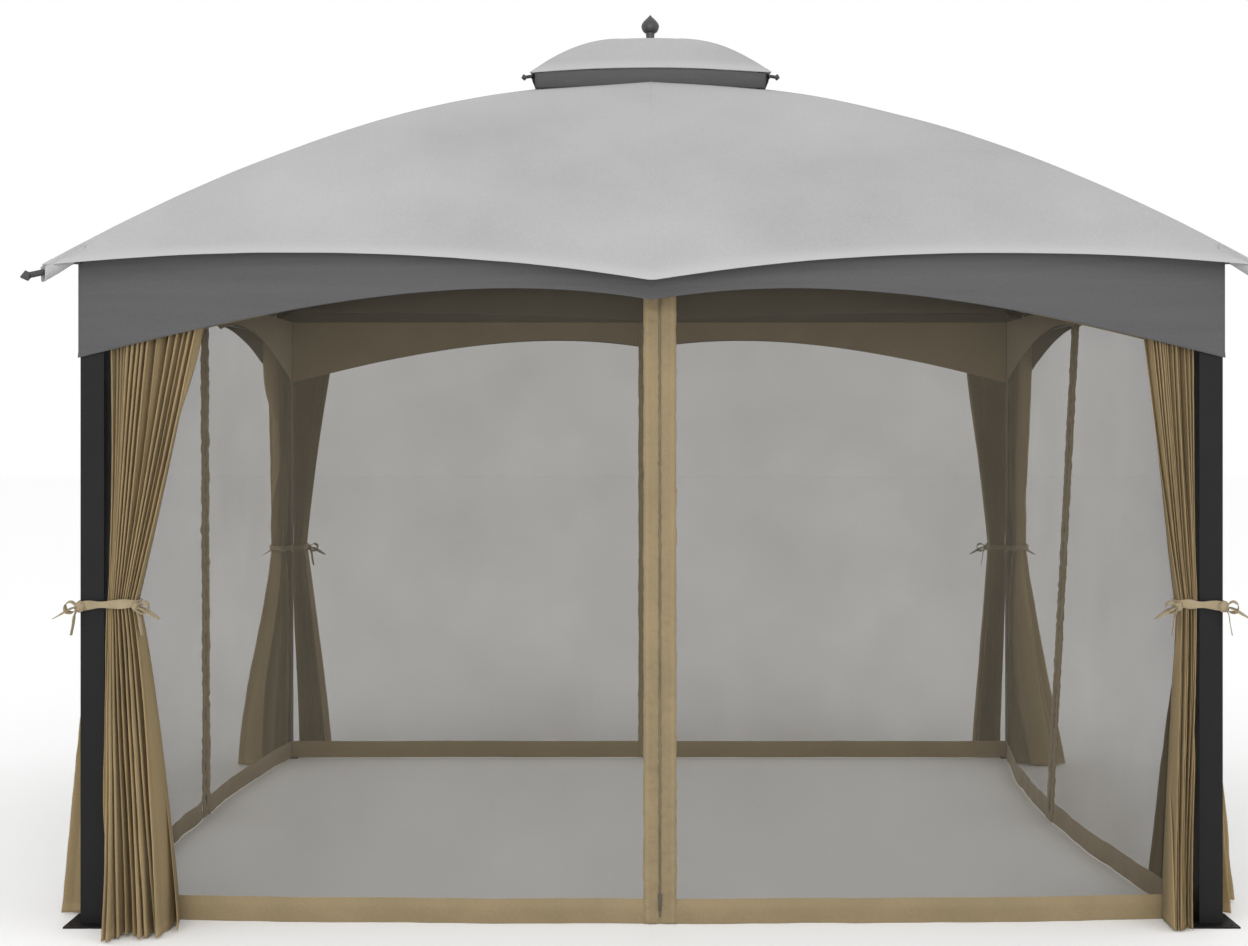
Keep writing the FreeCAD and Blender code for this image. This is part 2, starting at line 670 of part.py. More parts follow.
def net_glider(wall, along):
    """A glider head in the net rail, and its neck out through the slot to the flap."""
    face = wall_half(wall)[1] - BEAM_SIDE / 2
    z0, z1 = NET_RAIL_Z
    middle, inset = (z0 + z1) / 2, RAIL_WALL + GLIDER_GAP
    half = GLIDER_LENGTH / 2
    head = box(
        on_wall(wall, along - half, face - inset, z0 + inset),
        on_wall(wall, along + half, face - NET_RAIL_DEPTH + inset, z1 - inset),
    )
    neck = box(
        on_wall(wall, along - half, face - NET_RAIL_DEPTH / 2, middle - GLIDER_NECK / 2),
        on_wall(wall, along + half, net_out(wall) + FLAP_THICK / 2, middle + GLIDER_NECK / 2),
    )
    return head.fuse(neck)


def net_edge(wall, side):
    """The stiff flap at a panel's zip, hanging from its glider."""
    near, far = ZIP_GAP / 2, FLAP_WIDTH
    flap = hanging_sheet(wall, beside_zip(wall, side * near), beside_zip(wall, side * far), FLAP_THICK)
    along = zip_at(wall, sum(NET_RAIL_Z) / 2)[0]
    return flap.fuse(net_glider(wall, along + side * (near + far) / 2)).removeSplitter()


def zip_slider(wall):
    """A slider on both sides of the zip, with a pull tab on the inner and the outer side."""
    near = FLAP_THICK / 2 + SLIDER_GAP
    half_w, half_h = SLIDER_WIDTH / 2, SLIDER_HEIGHT / 2
    web = ZIP_GAP / 2 - SLIDER_GAP
    reach = near + SLIDER_PLATE
    shape = box(on_wall(wall, -web, -reach, -half_h), on_wall(wall, web, reach, half_h))
    for side in (-1, 1):
        plate = box(
            on_wall(wall, -half_w, side * near, -half_h),
            on_wall(wall, half_w, side * reach, half_h),
        )
        tab = box(
            on_wall(wall, -TAB_WIDTH / 2, side * reach, half_h / 2 - TAB_LENGTH),
            on_wall(wall, TAB_WIDTH / 2, side * (reach + TAB_THICK), half_h / 2),
        )
        shape = shape.fuse(plate).fuse(tab)
    shape = shape.removeSplitter()
    centre, above = (V(*on_wall(wall, *zip_at(wall, z), z)) for z in (SLIDER_Z, NET_TOP))
    shape.Placement = FreeCAD.Placement(centre, FreeCAD.Rotation(UP, above - centre))
    return shape


def curtain(wall, side):
    """A gathered curtain beside a post: wide at the rail, narrow at the tie, flared at the foot."""
    start = wall_half(wall)[0] - CURTAIN_POST_GAP
    out = wall_half(wall)[1]
    waist = (CURTAIN_TIE_Z, CURTAIN_TIE_WIDTH, -CURTAIN_TIE_IN, CURTAIN_TIE_OUT[WALLS[wall][0]])
    wires = []
    for z, width, low, high in (*CURTAIN_UPPER, waist, *CURTAIN_LOWER):
        inset = min(width, high - low) * CURTAIN_ROUNDING
        a, b, c, d = start, start - width, out + low, out + high
        outline = [
            (a - inset, c), (b + inset, c), (b, c + inset), (b, d - inset),
            (b + inset, d), (a - inset, d), (a, d - inset), (a, c + inset),
        ]
        points = [V(*on_wall(wall, side * along, across, z)) for along, across in outline]
        wires.append(Part.makePolygon(points + points[:1]))
    return Part.makeLoft(wires, True, True)


def curtain_lead(wall, side):
    """The glider at a curtain's leading edge, with the ring that the cloth hangs from."""
    along = side * (wall_half(wall)[0] - CURTAIN_POST_GAP - CURTAIN_TOP_WIDTH + GLIDER_LENGTH / 2)
    out = curtain_rail_out(wall)
    z0, z1 = CURTAIN_RAIL_Z
    inset = RAIL_WALL + GLIDER_GAP
    half, neck = GLIDER_LENGTH / 2, GLIDER_NECK / 2
    half_w = CURTAIN_RAIL_WIDTH / 2 - inset
    head_low = on_wall(wall, along - half, out - half_w, z0 + inset)
    head = box(head_low, on_wall(wall, along + half, out + half_w, z1 - inset))
    ring_z = CURTAIN_TOP + LEAD_RING_LIFT
    stem = box(
        on_wall(wall, along - neck, out - neck, ring_z + LEAD_RING_R - LEAD_WIRE_R / 2),
        on_wall(wall, along + neck, out + neck, z0 + inset + LEAD_WIRE_R / 2),
    )
    axis = V(*on_wall(wall, 0, 1, 0))
    ring = Part.makeTorus(LEAD_RING_R, LEAD_WIRE_R, V(*on_wall(wall, along, out, ring_z)), axis)
    return head.fuse(stem).fuse(ring)


def curtain_ties():
    """One band per corner, round the post and both of its curtains."""
    post_half = POST_SIDE / 2
    reach = post_half + CURTAIN_POST_GAP + CURTAIN_TIE_WIDTH

    def outline(grow):
        far_x, far_y = CURTAIN_TIE_OUT[False] + grow, CURTAIN_TIE_OUT[True] + grow
        near, corner, tip = CURTAIN_TIE_IN + grow, post_half + grow, reach + grow
        points = [(-far_x, -far_y), (tip, -far_y), (tip, near), (corner, near)]
        points += [(corner, corner), (near, corner), (near, tip), (-far_x, tip)]
        at = [V(-POST_X + x, -POST_Y + y, CURTAIN_TIE_Z - TIE_HEIGHT / 2) for x, y in points]
        return Part.Face(Part.makePolygon(at + at[:1]))

    band = outline(TIE_GAP + TIE_THICK).cut(outline(TIE_GAP)).extrude(UP * TIE_HEIGHT)
    return Part.makeCompound([mirrored(band, *corner) for corner in CORNERS.values()])


def single(shape):
    """The shape's only solid, or the shape itself where it has more."""
    return shape.Solids[0] if len(shape.Solids) == 1 else Part.makeCompound(shape.Solids)


def build():
    parts = {f"post_{name}": post(*sides) for name, sides in CORNERS.items()}
    parts["base_plates"] = base_plates()
    parts["corner_brackets"] = corner_brackets()
    parts["frame_bolts"] = frame_bolts()
    parts["long_beams"] = beams(("front", "back"))
    parts["short_beams"] = beams(("left", "right"))
    parts["beam_sleeves"] = beam_sleeves()
    parts["net_rails"] = net_rails()
    parts["curtain_rails"] = curtain_rails()
    parts["hip_rafters"] = hip_rafters()
    parts["mid_rafters"] = mid_rafters()
    parts["roof_ring"] = roof_ring()
    parts["rafter_caps"] = rafter_caps()
    parts["vent_legs"] = vent_legs()
    parts["vent_rafters"] = vent_rafters()
    parts["vent_hub"] = vent_hub()
    parts["vent_caps"] = vent_caps()
    parts["finial"] = finial()
    parts["roof_canopy"] = roof_canopy()
    parts["vent_canopy"] = vent_canopy()
    parts["vent_skirt"] = vent_skirt()
    parts["valance"] = valance()
    parts["curtain_ties"] = curtain_ties()
    for wall in WALLS:
        parts[f"net_{wall}"] = net_wall(wall)
        parts[f"zip_slider_{wall}"] = zip_slider(wall)
        names = ("left", "right") if WALLS[wall][0] else ("front", "back")
        for side, name in zip((-1, 1), names):
            parts[f"net_edge_{wall}_{name}"] = net_edge(wall, side)
            parts[f"curtain_{wall}_{name}"] = curtain(wall, side)
            parts[f"curtain_lead_{wall}_{name}"] = curtain_lead(wall, side)
    return parts


os.makedirs("parts", exist_ok=True)
for name, shape in build().items():
    shape = single(shape)
    print(name, len(shape.Solids), shape.isValid(), round(shape.Volume / 1000), "cm3")
    shape.exportStep(f"parts/{name}.step")
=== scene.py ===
import math

import bmesh
import bpy
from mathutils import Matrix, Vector, noise


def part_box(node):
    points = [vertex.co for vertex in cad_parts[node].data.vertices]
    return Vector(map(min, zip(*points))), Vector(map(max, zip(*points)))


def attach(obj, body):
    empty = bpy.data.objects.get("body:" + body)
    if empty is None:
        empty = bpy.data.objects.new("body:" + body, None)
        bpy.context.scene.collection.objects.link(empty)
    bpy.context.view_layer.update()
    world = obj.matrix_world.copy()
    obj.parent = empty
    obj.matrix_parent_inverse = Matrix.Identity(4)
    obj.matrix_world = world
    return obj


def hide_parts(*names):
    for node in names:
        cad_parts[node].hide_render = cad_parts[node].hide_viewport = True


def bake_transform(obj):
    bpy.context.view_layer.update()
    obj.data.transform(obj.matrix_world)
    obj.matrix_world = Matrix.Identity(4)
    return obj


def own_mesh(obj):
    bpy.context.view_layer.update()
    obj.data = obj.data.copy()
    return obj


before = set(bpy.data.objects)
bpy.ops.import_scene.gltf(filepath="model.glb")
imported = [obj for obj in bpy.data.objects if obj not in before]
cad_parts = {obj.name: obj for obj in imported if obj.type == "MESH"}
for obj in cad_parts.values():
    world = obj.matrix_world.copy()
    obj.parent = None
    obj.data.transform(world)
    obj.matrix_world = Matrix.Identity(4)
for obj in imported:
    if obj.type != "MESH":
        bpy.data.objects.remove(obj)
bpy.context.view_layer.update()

# Screen house looks, in metres: +Z up, +X right, the front wall faces -Y.

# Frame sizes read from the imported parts
POST_LOW, POST_HIGH = (Vector(v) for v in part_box("post_front_left"))
POST_HALF = (POST_HIGH.x - POST_LOW.x) / 2
POST_X = -(POST_LOW.x + POST_HIGH.x) / 2
POST_Y = -(POST_LOW.y + POST_HIGH.y) / 2
NET_X = -(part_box("net_left")[1][0] - 0.001)
NET_Y = -(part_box("net_front")[1][1] - 0.001)
NET_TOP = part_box("net_front")[1][2]
NET_FOOT = 0.0015
VALANCE_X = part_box("valance")[1][0]
VALANCE_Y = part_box("valance")[1][1]
TIE_LOW, TIE_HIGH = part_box("curtain_ties")
TIE_Z = (TIE_LOW[2] + TIE_HIGH[2]) / 2
CURTAIN_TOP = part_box("curtain_front_left")[1][2]
CURTAIN_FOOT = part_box("curtain_front_left")[0][2]

# Control points of the roofs' curves in the front left corner
ROOF_TIP = Vector((-1.795, -1.490, 1.966))
ROOF_BEND = Vector((-1.1025, -0.915, 2.520))
ROOF_RING = Vector((-0.410, -0.340, 2.715))
ROOF_MID_Z = (1.925, 2.529, 2.745)
ROOF_EAVE_BEND = (0.090, 2.070)
VENT_TIP = Vector((-0.433, -0.361, 2.771))
VENT_BEND = Vector((-0.2235, -0.1865, 2.971))
VENT_TOP = Vector((-0.014, -0.012, 2.960))
VENT_EAVE_BEND = (0.010, 2.810)
SKIRT_FOOT = (0.414, 0.344)

# Valance arch: heights at the corner, two bends and the middle of each wall
ARCH = (1.698, 1.841, 1.970, 1.871)
HEM_TOP = 0.076
FLAP_WIDTH = 0.050

# Each wall: whether it runs along X, its side, where its zip is along it at the top and at the foot,
# and how far the foot is shifted outward
WALLS = {
    "front": (True, -1, 0.025, 0.025, 0.070),
    "back": (True, 1, 0.0, 0.0, 0.0),
    "left": (False, -1, -0.250, 0.100, 0.085),
    "right": (False, 1, 0.030, 0.030, -0.105),
}
CORNERS = {"front_left": (-1, -1), "front_right": (1, -1), "back_left": (-1, 1), "back_right": (1, 1)}


# ---------------------------------------------------------------- materials

def new_material(name):
    mat = bpy.data.materials.new(name)
    mat.use_nodes = True
    nodes = mat.node_tree.nodes
    return mat, nodes, mat.node_tree.links, nodes["Principled BSDF"]


def noise_node(nodes, links, coords, scale, detail=4.0, stretch=(1, 1, 1)):
    mapping = nodes.new("ShaderNodeMapping")
    mapping.inputs["Scale"].default_value = stretch
    links.new(coords, mapping.inputs["Vector"])
    texture = nodes.new("ShaderNodeTexNoise")
    texture.inputs["Scale"].default_value = scale
    texture.inputs["Detail"].default_value = detail
    links.new(mapping.outputs["Vector"], texture.inputs["Vector"])
    return texture.outputs["Fac"]


def ramp_node(nodes, links, fac, low, high, dark, light):
    ramp = nodes.new("ShaderNodeValToRGB")
    ramp.color_ramp.elements[0].position = low
    ramp.color_ramp.elements[1].position = high
    ramp.color_ramp.elements[0].color = (*dark, 1)
    ramp.color_ramp.elements[1].color = (*light, 1)
    links.new(fac, ramp.inputs["Fac"])
    return ramp.outputs["Color"]


def bump_node(nodes, links, height, strength, distance, below=None):
    bump = nodes.new("ShaderNodeBump")
    bump.inputs["Strength"].default_value = strength
    bump.inputs["Distance"].default_value = distance
    links.new(height, bump.inputs["Height"])
    if below is not None:
        links.new(below, bump.inputs["Normal"])
    return bump.outputs["Normal"]


def shade(colour, factor):
    return tuple(min(1.0, c * factor) for c in colour)


def mix_colours(nodes, links, fac, a, b, mode="MIX"):
    mix = nodes.new("ShaderNodeMix")
    mix.data_type = "RGBA"
    mix.blend_type = mode
    if fac is None:
        mix.inputs["Factor"].default_value = 1.0
    else:
        links.new(fac, mix.inputs["Factor"])
    links.new(a, mix.inputs["A"])
    if isinstance(b, tuple):
        mix.inputs["B"].default_value = (*b, 1)
    else:
        links.new(b, mix.inputs["B"])
    return mix.outputs["Result"]


def weave_height(nodes, links, coords, thread):
    """Crossed threads of this width, as a height."""
    heights = []
    for direction in ("X", "Z"):
        wave = nodes.new("ShaderNodeTexWave")
        wave.bands_direction = direction
        wave.inputs["Scale"].default_value = 0.314 / thread
        wave.inputs["Distortion"].default_value = 0.6
        wave.inputs["Detail"].default_value = 1.0
        links.new(coords, wave.inputs["Vector"])
        heights.append(wave.outputs["Fac"])
    add = nodes.new("ShaderNodeMath")
    add.operation = "ADD"
    links.new(heights[0], add.inputs[0])
    links.new(heights[1], add.inputs[1])
    return add.outputs["Value"]


def cloth_material(name, colour, mottle, streak, wrinkle, edge_colour=None, sheen=0.15, roughness=0.85,
                   through=0.0, fold_shade=None):
    """Woven polyester: threads, creases and mottled dye, with a paler edge, and painted shade in the folds
    where given.
    """
    mat, nodes, links, shader = new_material(name)
    coords = nodes.new("ShaderNodeTexCoord").outputs["Object"]
    broad = noise_node(nodes, links, coords, mottle, 5.0, streak)
    fine = noise_node(nodes, links, coords, 160.0, 3.0)
    base = ramp_node(nodes, links, broad, 0.3, 0.7, shade(colour, 0.90), shade(colour, 1.08))
    grain = ramp_node(nodes, links, fine, 0.35, 0.65, (0.93, 0.93, 0.93), (1.0, 1.0, 1.0))
    base = mix_colours(nodes, links, None, base, grain, "MULTIPLY")
    if edge_colour:
        edge = nodes.new("ShaderNodeAttribute")
        edge.attribute_name = "edge"
        base = mix_colours(nodes, links, edge.outputs["Fac"], base, edge_colour)
    # Painted shade: the fold-shade attribute darkens the base colour in the curtain folds, down to this
    # factor.
    if fold_shade:
        depth = nodes.new("ShaderNodeAttribute")
        depth.attribute_name = "fold_shade"
        bright, dark = (1.0, 1.0, 1.0), (fold_shade, fold_shade, fold_shade)
        shadow = ramp_node(nodes, links, depth.outputs["Fac"], 0.0, 1.0, bright, dark)
        base = mix_colours(nodes, links, None, base, shadow, "MULTIPLY")
    links.new(base, shader.inputs["Base Color"])
    if through:
        glow = nodes.new("ShaderNodeBsdfTranslucent")
        links.new(base, glow.inputs["Color"])
        blend = nodes.new("ShaderNodeMixShader")
        blend.inputs["Fac"].default_value = through
        links.new(shader.outputs["BSDF"], blend.inputs[1])
        links.new(glow.outputs["BSDF"], blend.inputs[2])
        links.new(blend.outputs["Shader"], nodes["Material Output"].inputs["Surface"])
    creases = noise_node(nodes, links, coords, wrinkle, 6.0, streak)
    normal = bump_node(nodes, links, creases, 0.35, 0.010)
    normal = bump_node(nodes, links, weave_height(nodes, links, coords, 0.0012), 0.10, 0.0002, normal)
    links.new(normal, shader.inputs["Normal"])
    rough = nodes.new("ShaderNodeMapRange")
    rough.inputs["To Min"].default_value = roughness - 0.08
    rough.inputs["To Max"].default_value = roughness + 0.08
    links.new(broad, rough.inputs["Value"])
    links.new(rough.outputs["Result"], shader.inputs["Roughness"])
    shader.inputs["Sheen Weight"].default_value = sheen
    shader.inputs["Sheen Roughness"].default_value = 0.5
    shader.inputs["Specular IOR Level"].default_value = 0.25
    return mat


def coated_material(name, colour, roughness, metallic=0.0, grain=220.0, shine=0.5):
    """Powder coat, plastic or metal: a fine orange peel and slight scuffs."""
    mat, nodes, links, shader = new_material(name)
    coords = nodes.new("ShaderNodeTexCoord").outputs["Object"]
    scuffs = noise_node(nodes, links, coords, 9.0, 8.0)
    peel = noise_node(nodes, links, coords, grain, 2.0)
    links.new(ramp_node(nodes, links, scuffs, 0.35, 0.72, shade(colour, 0.85), shade(colour, 1.35)),
              shader.inputs["Base Color"])
    rough = nodes.new("ShaderNodeMapRange")
    rough.inputs["To Min"].default_value = roughness - 0.1
    rough.inputs["To Max"].default_value = roughness + 0.12
    links.new(scuffs, rough.inputs["Value"])
    links.new(rough.outputs["Result"], shader.inputs["Roughness"])
    links.new(bump_node(nodes, links, peel, 0.15, 0.0006), shader.inputs["Normal"])
    shader.inputs["Metallic"].default_value = metallic
    shader.inputs["Specular IOR Level"].default_value = shine
    return mat


def net_material(name, colour, solid):
    """Fine netting: most of it is holes, so it shows what is behind it through a veil of thread."""
    mat, nodes, links, shader = new_material(name)
    coords = nodes.new("ShaderNodeTexCoord").outputs["Object"]
    broad = noise_node(nodes, links, coords, 2.2, 6.0)
    dust = noise_node(nodes, links, coords, 12.0, 3.0)
    links.new(ramp_node(nodes, links, dust, 0.3, 0.7, shade(colour, 0.94), shade(colour, 1.06)),
              shader.inputs["Base Color"])
    shader.inputs["Roughness"].default_value = 0.9
    shader.inputs["Specular IOR Level"].default_value = 0.1
    cover = nodes.new("ShaderNodeMapRange")
    cover.inputs["From Min"].default_value = 0.3
    cover.inputs["From Max"].default_value = 0.7
    cover.inputs["To Min"].default_value = solid - 0.035
    cover.inputs["To Max"].default_value = solid + 0.035
    links.new(broad, cover.inputs["Value"])
    clear = nodes.new("ShaderNodeBsdfTransparent")
    mix = nodes.new("ShaderNodeMixShader")
    links.new(cover.outputs["Result"], mix.inputs["Fac"])
    links.new(clear.outputs["BSDF"], mix.inputs[1])
    links.new(shader.outputs["BSDF"], mix.inputs[2])
    links.new(mix.outputs["Shader"], nodes["Material Output"].inputs["Surface"])
    return mat


ROOF_CLOTH = cloth_material("roof_cloth", (0.375, 0.375, 0.375), 1.6, (1, 1, 1), 3.5, (0.43, 0.43, 0.43))
# Painted shade: the roof's underside is coloured dark brown for the shade under the roof. It is not a lining
# of its own.
ROOF_UNDERSIDE_SHADE = cloth_material("roof_underside_painted_shade", (0.085, 0.068, 0.048), 1.6, (1, 1, 1), 3.5)
VALANCE_CLOTH = cloth_material("valance_cloth", (0.087, 0.087, 0.089), 3.0, (0.35, 0.35, 6.0), 6.0)
# Curtain cloth with painted shade in its folds, down to 0.72 of its colour.
CURTAIN_CLOTH = cloth_material("curtain_cloth", (0.550, 0.430, 0.240), 3.0, (3, 3, 0.6), 9.0,
                               (0.62, 0.49, 0.28), 0.08, through=0.55, fold_shade=0.72)
TIE_CLOTH = cloth_material("tie_cloth", (0.31, 0.25, 0.155), 30.0, (1, 1, 1), 60.0, None, 0.2)
BAND_CLOTH = cloth_material("band_cloth", (0.245, 0.188, 0.105), 5.0, (1, 1, 1), 24.0,
                            (0.31, 0.245, 0.145), 0.2)
NET_MESH = net_material("net_mesh", (0.085, 0.074, 0.055), 0.455)
FRAME_STEEL = coated_material("frame_steel", (0.006, 0.006, 0.0065), 0.55, shine=0.22)
RAIL_METAL = coated_material("rail_aluminium", (0.035, 0.035, 0.037), 0.4, 0.3)
BOLT_METAL = coated_material("zinc_steel", (0.42, 0.42, 0.43), 0.38, 1.0)
CAP_PLASTIC = coated_material("cap_plastic", (0.035, 0.035, 0.037), 0.5)
FINIAL_METAL = coated_material("finial_metal", (0.06, 0.06, 0.062), 0.38, 0.4, 120.0)
ZIP_METAL = coated_material("zip_metal", (0.10, 0.09, 0.07), 0.35, 0.8)
ZIP_COIL = coated_material("zip_coil", (0.12, 0.095, 0.06), 0.6)


# ---------------------------------------------------------------- mesh helpers

def quadratic(a, b, c, t):
    return a * (1 - t) ** 2 + b * (2 * t * (1 - t)) + c * t * t


def smooth(t):
    t = min(1.0, max(0.0, t))
    return t * t * (3 - 2 * t)


def on_wall(wall, along, out, z):
    """A point given along a wall, outward from the origin and up."""
    along_x, side = WALLS[wall][:2]
    return Vector((along, side * out, z)) if along_x else Vector((side * out, along, z))


def wall_plan(wall):
    """Half the clear length between the posts, the distance to the post centres, and to the net."""
    if WALLS[wall][0]:
        return POST_X - POST_HALF, POST_Y, NET_Y
    return POST_Y - POST_HALF, POST_X, NET_X


def ripple(x, y=0.0, z=0.0):
    return noise.noise(Vector((x, y, z)))


def mesh_piece(name, verts, faces, materials, body, face_material=None, edge=None, fold_shade=None,
               smooth_faces=True):
    mesh = bpy.data.meshes.new(name)
    mesh.from_pydata([tuple(v) for v in verts], [], faces)
    for mat in materials:
        mesh.materials.append(mat)
    if face_material is not None:
        mesh.polygons.foreach_set("material_index", face_material)
    mesh.polygons.foreach_set("use_smooth", [smooth_faces] * len(mesh.polygons))
    # Point attributes: edge tints, and the strength of the painted fold shade.
    for label, values in (("edge", edge), ("fold_shade", fold_shade)):
        if values is not None:
            mesh.attributes.new(label, "FLOAT", "POINT").data.foreach_set("value", values)
    mesh.update()
    obj = bpy.data.objects.new(name, mesh)
    bpy.context.scene.collection.objects.link(obj)
    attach(obj, body)
    return obj


def grid_faces(rows, cols, first=0, wrap=False, flip=False):
    faces = []
    last = cols if wrap else cols - 1
    for i in range(rows - 1):
        for j in range(last):
            k = (j + 1) % cols
            low, high = first + i * cols, first + (i + 1) * cols
            quad = (low + j, low + k, high + k, high + j)
            faces.append(quad[::-1] if flip else quad)
    return faces


def thicken(obj, thickness, offset=-1.0, inner_material=0):
    """Gives a sheet its thickness and keeps only the result. The inner face may take the next material."""
    modifier = obj.modifiers.new("thickness", "SOLIDIFY")
    modifier.material_offset = inner_material
    modifier.thickness = thickness
    modifier.offset = offset
    return apply_modifiers(obj)


def apply_modifiers(obj):
    bpy.context.view_layer.update()
    graph = bpy.context.evaluated_depsgraph_get()
    mesh = bpy.data.meshes.new_from_object(obj.evaluated_get(graph))
    obj.modifiers.clear()
    obj.data = mesh
    return obj


def weld(obj, distance=0.0004):
    work = bmesh.new()
    work.from_mesh(obj.data)
    bmesh.ops.remove_doubles(work, verts=work.verts, dist=distance)
    bmesh.ops.recalc_face_normals(work, faces=work.faces)
    work.to_mesh(obj.data)
    work.free()
    return obj


def steps(count, first=0.0, last=1.0):
    return [first + (last - first) * i / count for i in range(count + 1)]


def bevelled_boxes(name, boxes, bevel, material, body):
    """Rounded blocks given by their corners, joined in one mesh."""
    work = bmesh.new()
    for low, high in boxes:
        made = bmesh.ops.create_cube(work, size=1.0)["verts"]
        size = [abs(b - a) for a, b in zip(low, high)]
        middle = [(a + b) / 2 for a, b in zip(low, high)]
        bmesh.ops.scale(work, vec=size, verts=made)
        bmesh.ops.translate(work, vec=middle, verts=made)
    bmesh.ops.bevel(work, geom=work.edges[:], offset=bevel, segments=2, affect="EDGES", profile=0.6)
    mesh = bpy.data.meshes.new(name)
    work.to_mesh(mesh)
    work.free()
    mesh.materials.append(material)
    obj = bpy.data.objects.new(name, mesh)
    bpy.context.scene.collection.objects.link(obj)
    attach(obj, body)
    return obj


# ---------------------------------------------------------------- roofs

def roof_rows(along_x):
    """Control points of a half side of the main roof in the front left corner, from hip to middle."""
    def middle(point, z):
        return Vector((0, point.y, z)) if along_x else Vector((point.x, 0, z))

    foot, bend, top = (middle(p, z) for p, z in zip((ROOF_TIP, ROOF_BEND, ROOF_RING), ROOF_MID_Z))
    inset, eave_z = ROOF_EAVE_BEND
    eave = (ROOF_TIP + foot) * 0.5 + (Vector((0, inset, 0)) if along_x else Vector((inset, 0, 0)))
    eave.z = eave_z
    return blended_rows([ROOF_TIP, eave, foot], [ROOF_RING, (ROOF_RING + top) * 0.5, top], ROOF_BEND, bend)


def blended_rows(eave, ring, first, last):
    corners = (eave[0] + eave[2] + ring[0] + ring[2]) * 0.25
    middle = (first + last + eave[1] + ring[1]) * 0.5 - corners
    return [eave, [first, middle, last], ring]


def vent_rows(along_x):
    """Control points of a whole side of the vent roof on the front or the left."""
    def pair(point):
        other = Vector((-point.x, point.y, point.z)) if along_x else Vector((point.x, -point.y, point.z))
        return point, other

    def curve(point, bend_z, inset):
        a, b = pair(point)
        bend = (a + b) * 0.5 + (Vector((0, inset, 0)) if along_x else Vector((inset, 0, 0)))
        bend.z = bend_z
        return [a, bend, b]

    eave = curve(VENT_TIP, VENT_EAVE_BEND[1], VENT_EAVE_BEND[0])
    ring = curve(VENT_TOP, VENT_TOP.z, 0.0)
    return blended_rows(eave, ring, *pair(VENT_BEND))


def patch_point(rows, u, v):
    return quadratic(*(quadratic(*row, v) for row in rows), u)


def patch_normal(rows, u, v):
    e = 0.002
    along = patch_point(rows, min(1, u + e), v) - patch_point(rows, max(0, u - e), v)
    across = patch_point(rows, u, min(1, v + e)) - patch_point(rows, u, max(0, v - e))
    normal = along.cross(across).normalized()
    return -normal if normal.z < 0 else normal


def roof_height(x, y):
    """Height of the main roof's outer surface above a point in plan."""
    best = None
    for along_x in (True, False):
        rows = roof_rows(along_x)
        far, near = (-ROOF_TIP.y, -ROOF_RING.y) if along_x else (-ROOF_TIP.x, -ROOF_RING.x)
        out, along = (abs(y), abs(x)) if along_x else (abs(x), abs(y))
        u = min(1.0, max(0.0, (far - out) / (far - near)))
        wide = -ROOF_TIP.x if along_x else -ROOF_TIP.y
        narrow = -ROOF_RING.x if along_x else -ROOF_RING.y
        edge = wide + (narrow - wide) * u
        for _ in range(2):
            v = min(1.0, max(0.0, 1 - along / edge))
            point = patch_point(rows, u, v)
            got = -point.y if along_x else -point.x
            u = min(1.0, max(0.0, u + (got - out) / (far - near)))
            edge = wide + (narrow - wide) * u
        z = patch_point(rows, u, v).z
        best = z if best is None else min(best, z)
    return best


def seam_steps(count, seam):
    """Even steps across a patch, with close ones beside the seams at both ends."""
    beside = [0.0, seam * 0.5, seam, seam * 1.5]
    inner = steps(count, seam * 4, 1 - seam * 4)
    return beside + inner + [1 - s for s in reversed(beside)]


def cloth_patch(rows, us, vs, seam, relief, tint, ends):
    """Points and edge tints of one patch: raised seams at its sides and a doubled hem at the eave."""
    points, edge = [], []
    hem = ends["hem"]
    for u in us:
        for v in vs:
            point, normal = patch_point(rows, u, v), patch_normal(rows, u, v)
            lift = relief(point, u, v)
            near = min(v, 1 - v) if ends["both"] else v
            mid = 1 - v if ends["middle"] else 1.0
            lift += 0.0016 * (1 - smooth(min(near, mid) / (seam * 1.6)))
            lift += 0.0010 * (1 - smooth((u - hem) / 0.003))
            points.append(point + normal * lift)
            edge.append(tint(u, v))
    return points, edge


def roof_relief(point, u, v):
    """Slack between the rafters, and faint pulls that run up from the eave."""
    slack = math.sin(math.pi * min(1.0, v)) * math.sin(math.pi * min(1.0, u * 1.1))
    pulls = ripple(point.x * 2.4, point.y * 2.4, point.z * 1.1)
    fine = ripple(point.x * 9.0 + 5, point.y * 9.0, point.z * 4.0)
    return -0.006 * max(0.0, slack) + 0.0035 * pulls + 0.0008 * fine


def roof_piece():
    verts, faces, tints = [], [], []
    us = [0.0, 0.004, 0.008, 0.012, 0.016, 0.02] + steps(44, 0.035, 1.0)
    vs = seam_steps(40, 0.004)
    for along_x in (True, False):
        rows = roof_rows(along_x)
        for sx in (1, -1):
            for sy in (1, -1):
                def relief(point, u, v):
                    return roof_relief(Vector((point.x * sx, point.y * sy, point.z)), u, v)

                def tint(u, v):
                    return 0.8 * (1 - smooth((u - 0.004) / 0.04))

                ends = {"hem": 0.016, "both": False, "middle": True}
                points, edge = cloth_patch(rows, us, vs, 0.004, relief, tint, ends)
                first = len(verts)
                verts += [Vector((p.x * sx, p.y * sy, p.z)) for p in points]
                tints += edge
                faces += grid_faces(len(us), len(vs), first, flip=(sx * sy > 0) != along_x)
    # The inner face of the roof takes the dark painted-shade underside colour.
    cloths = [ROOF_CLOTH, ROOF_UNDERSIDE_SHADE]
    obj = mesh_piece("main_canopy", verts, faces, cloths, "root", edge=tints)
    thicken(weld(obj), 0.0016, inner_material=1)
    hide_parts("roof_canopy")
    return obj


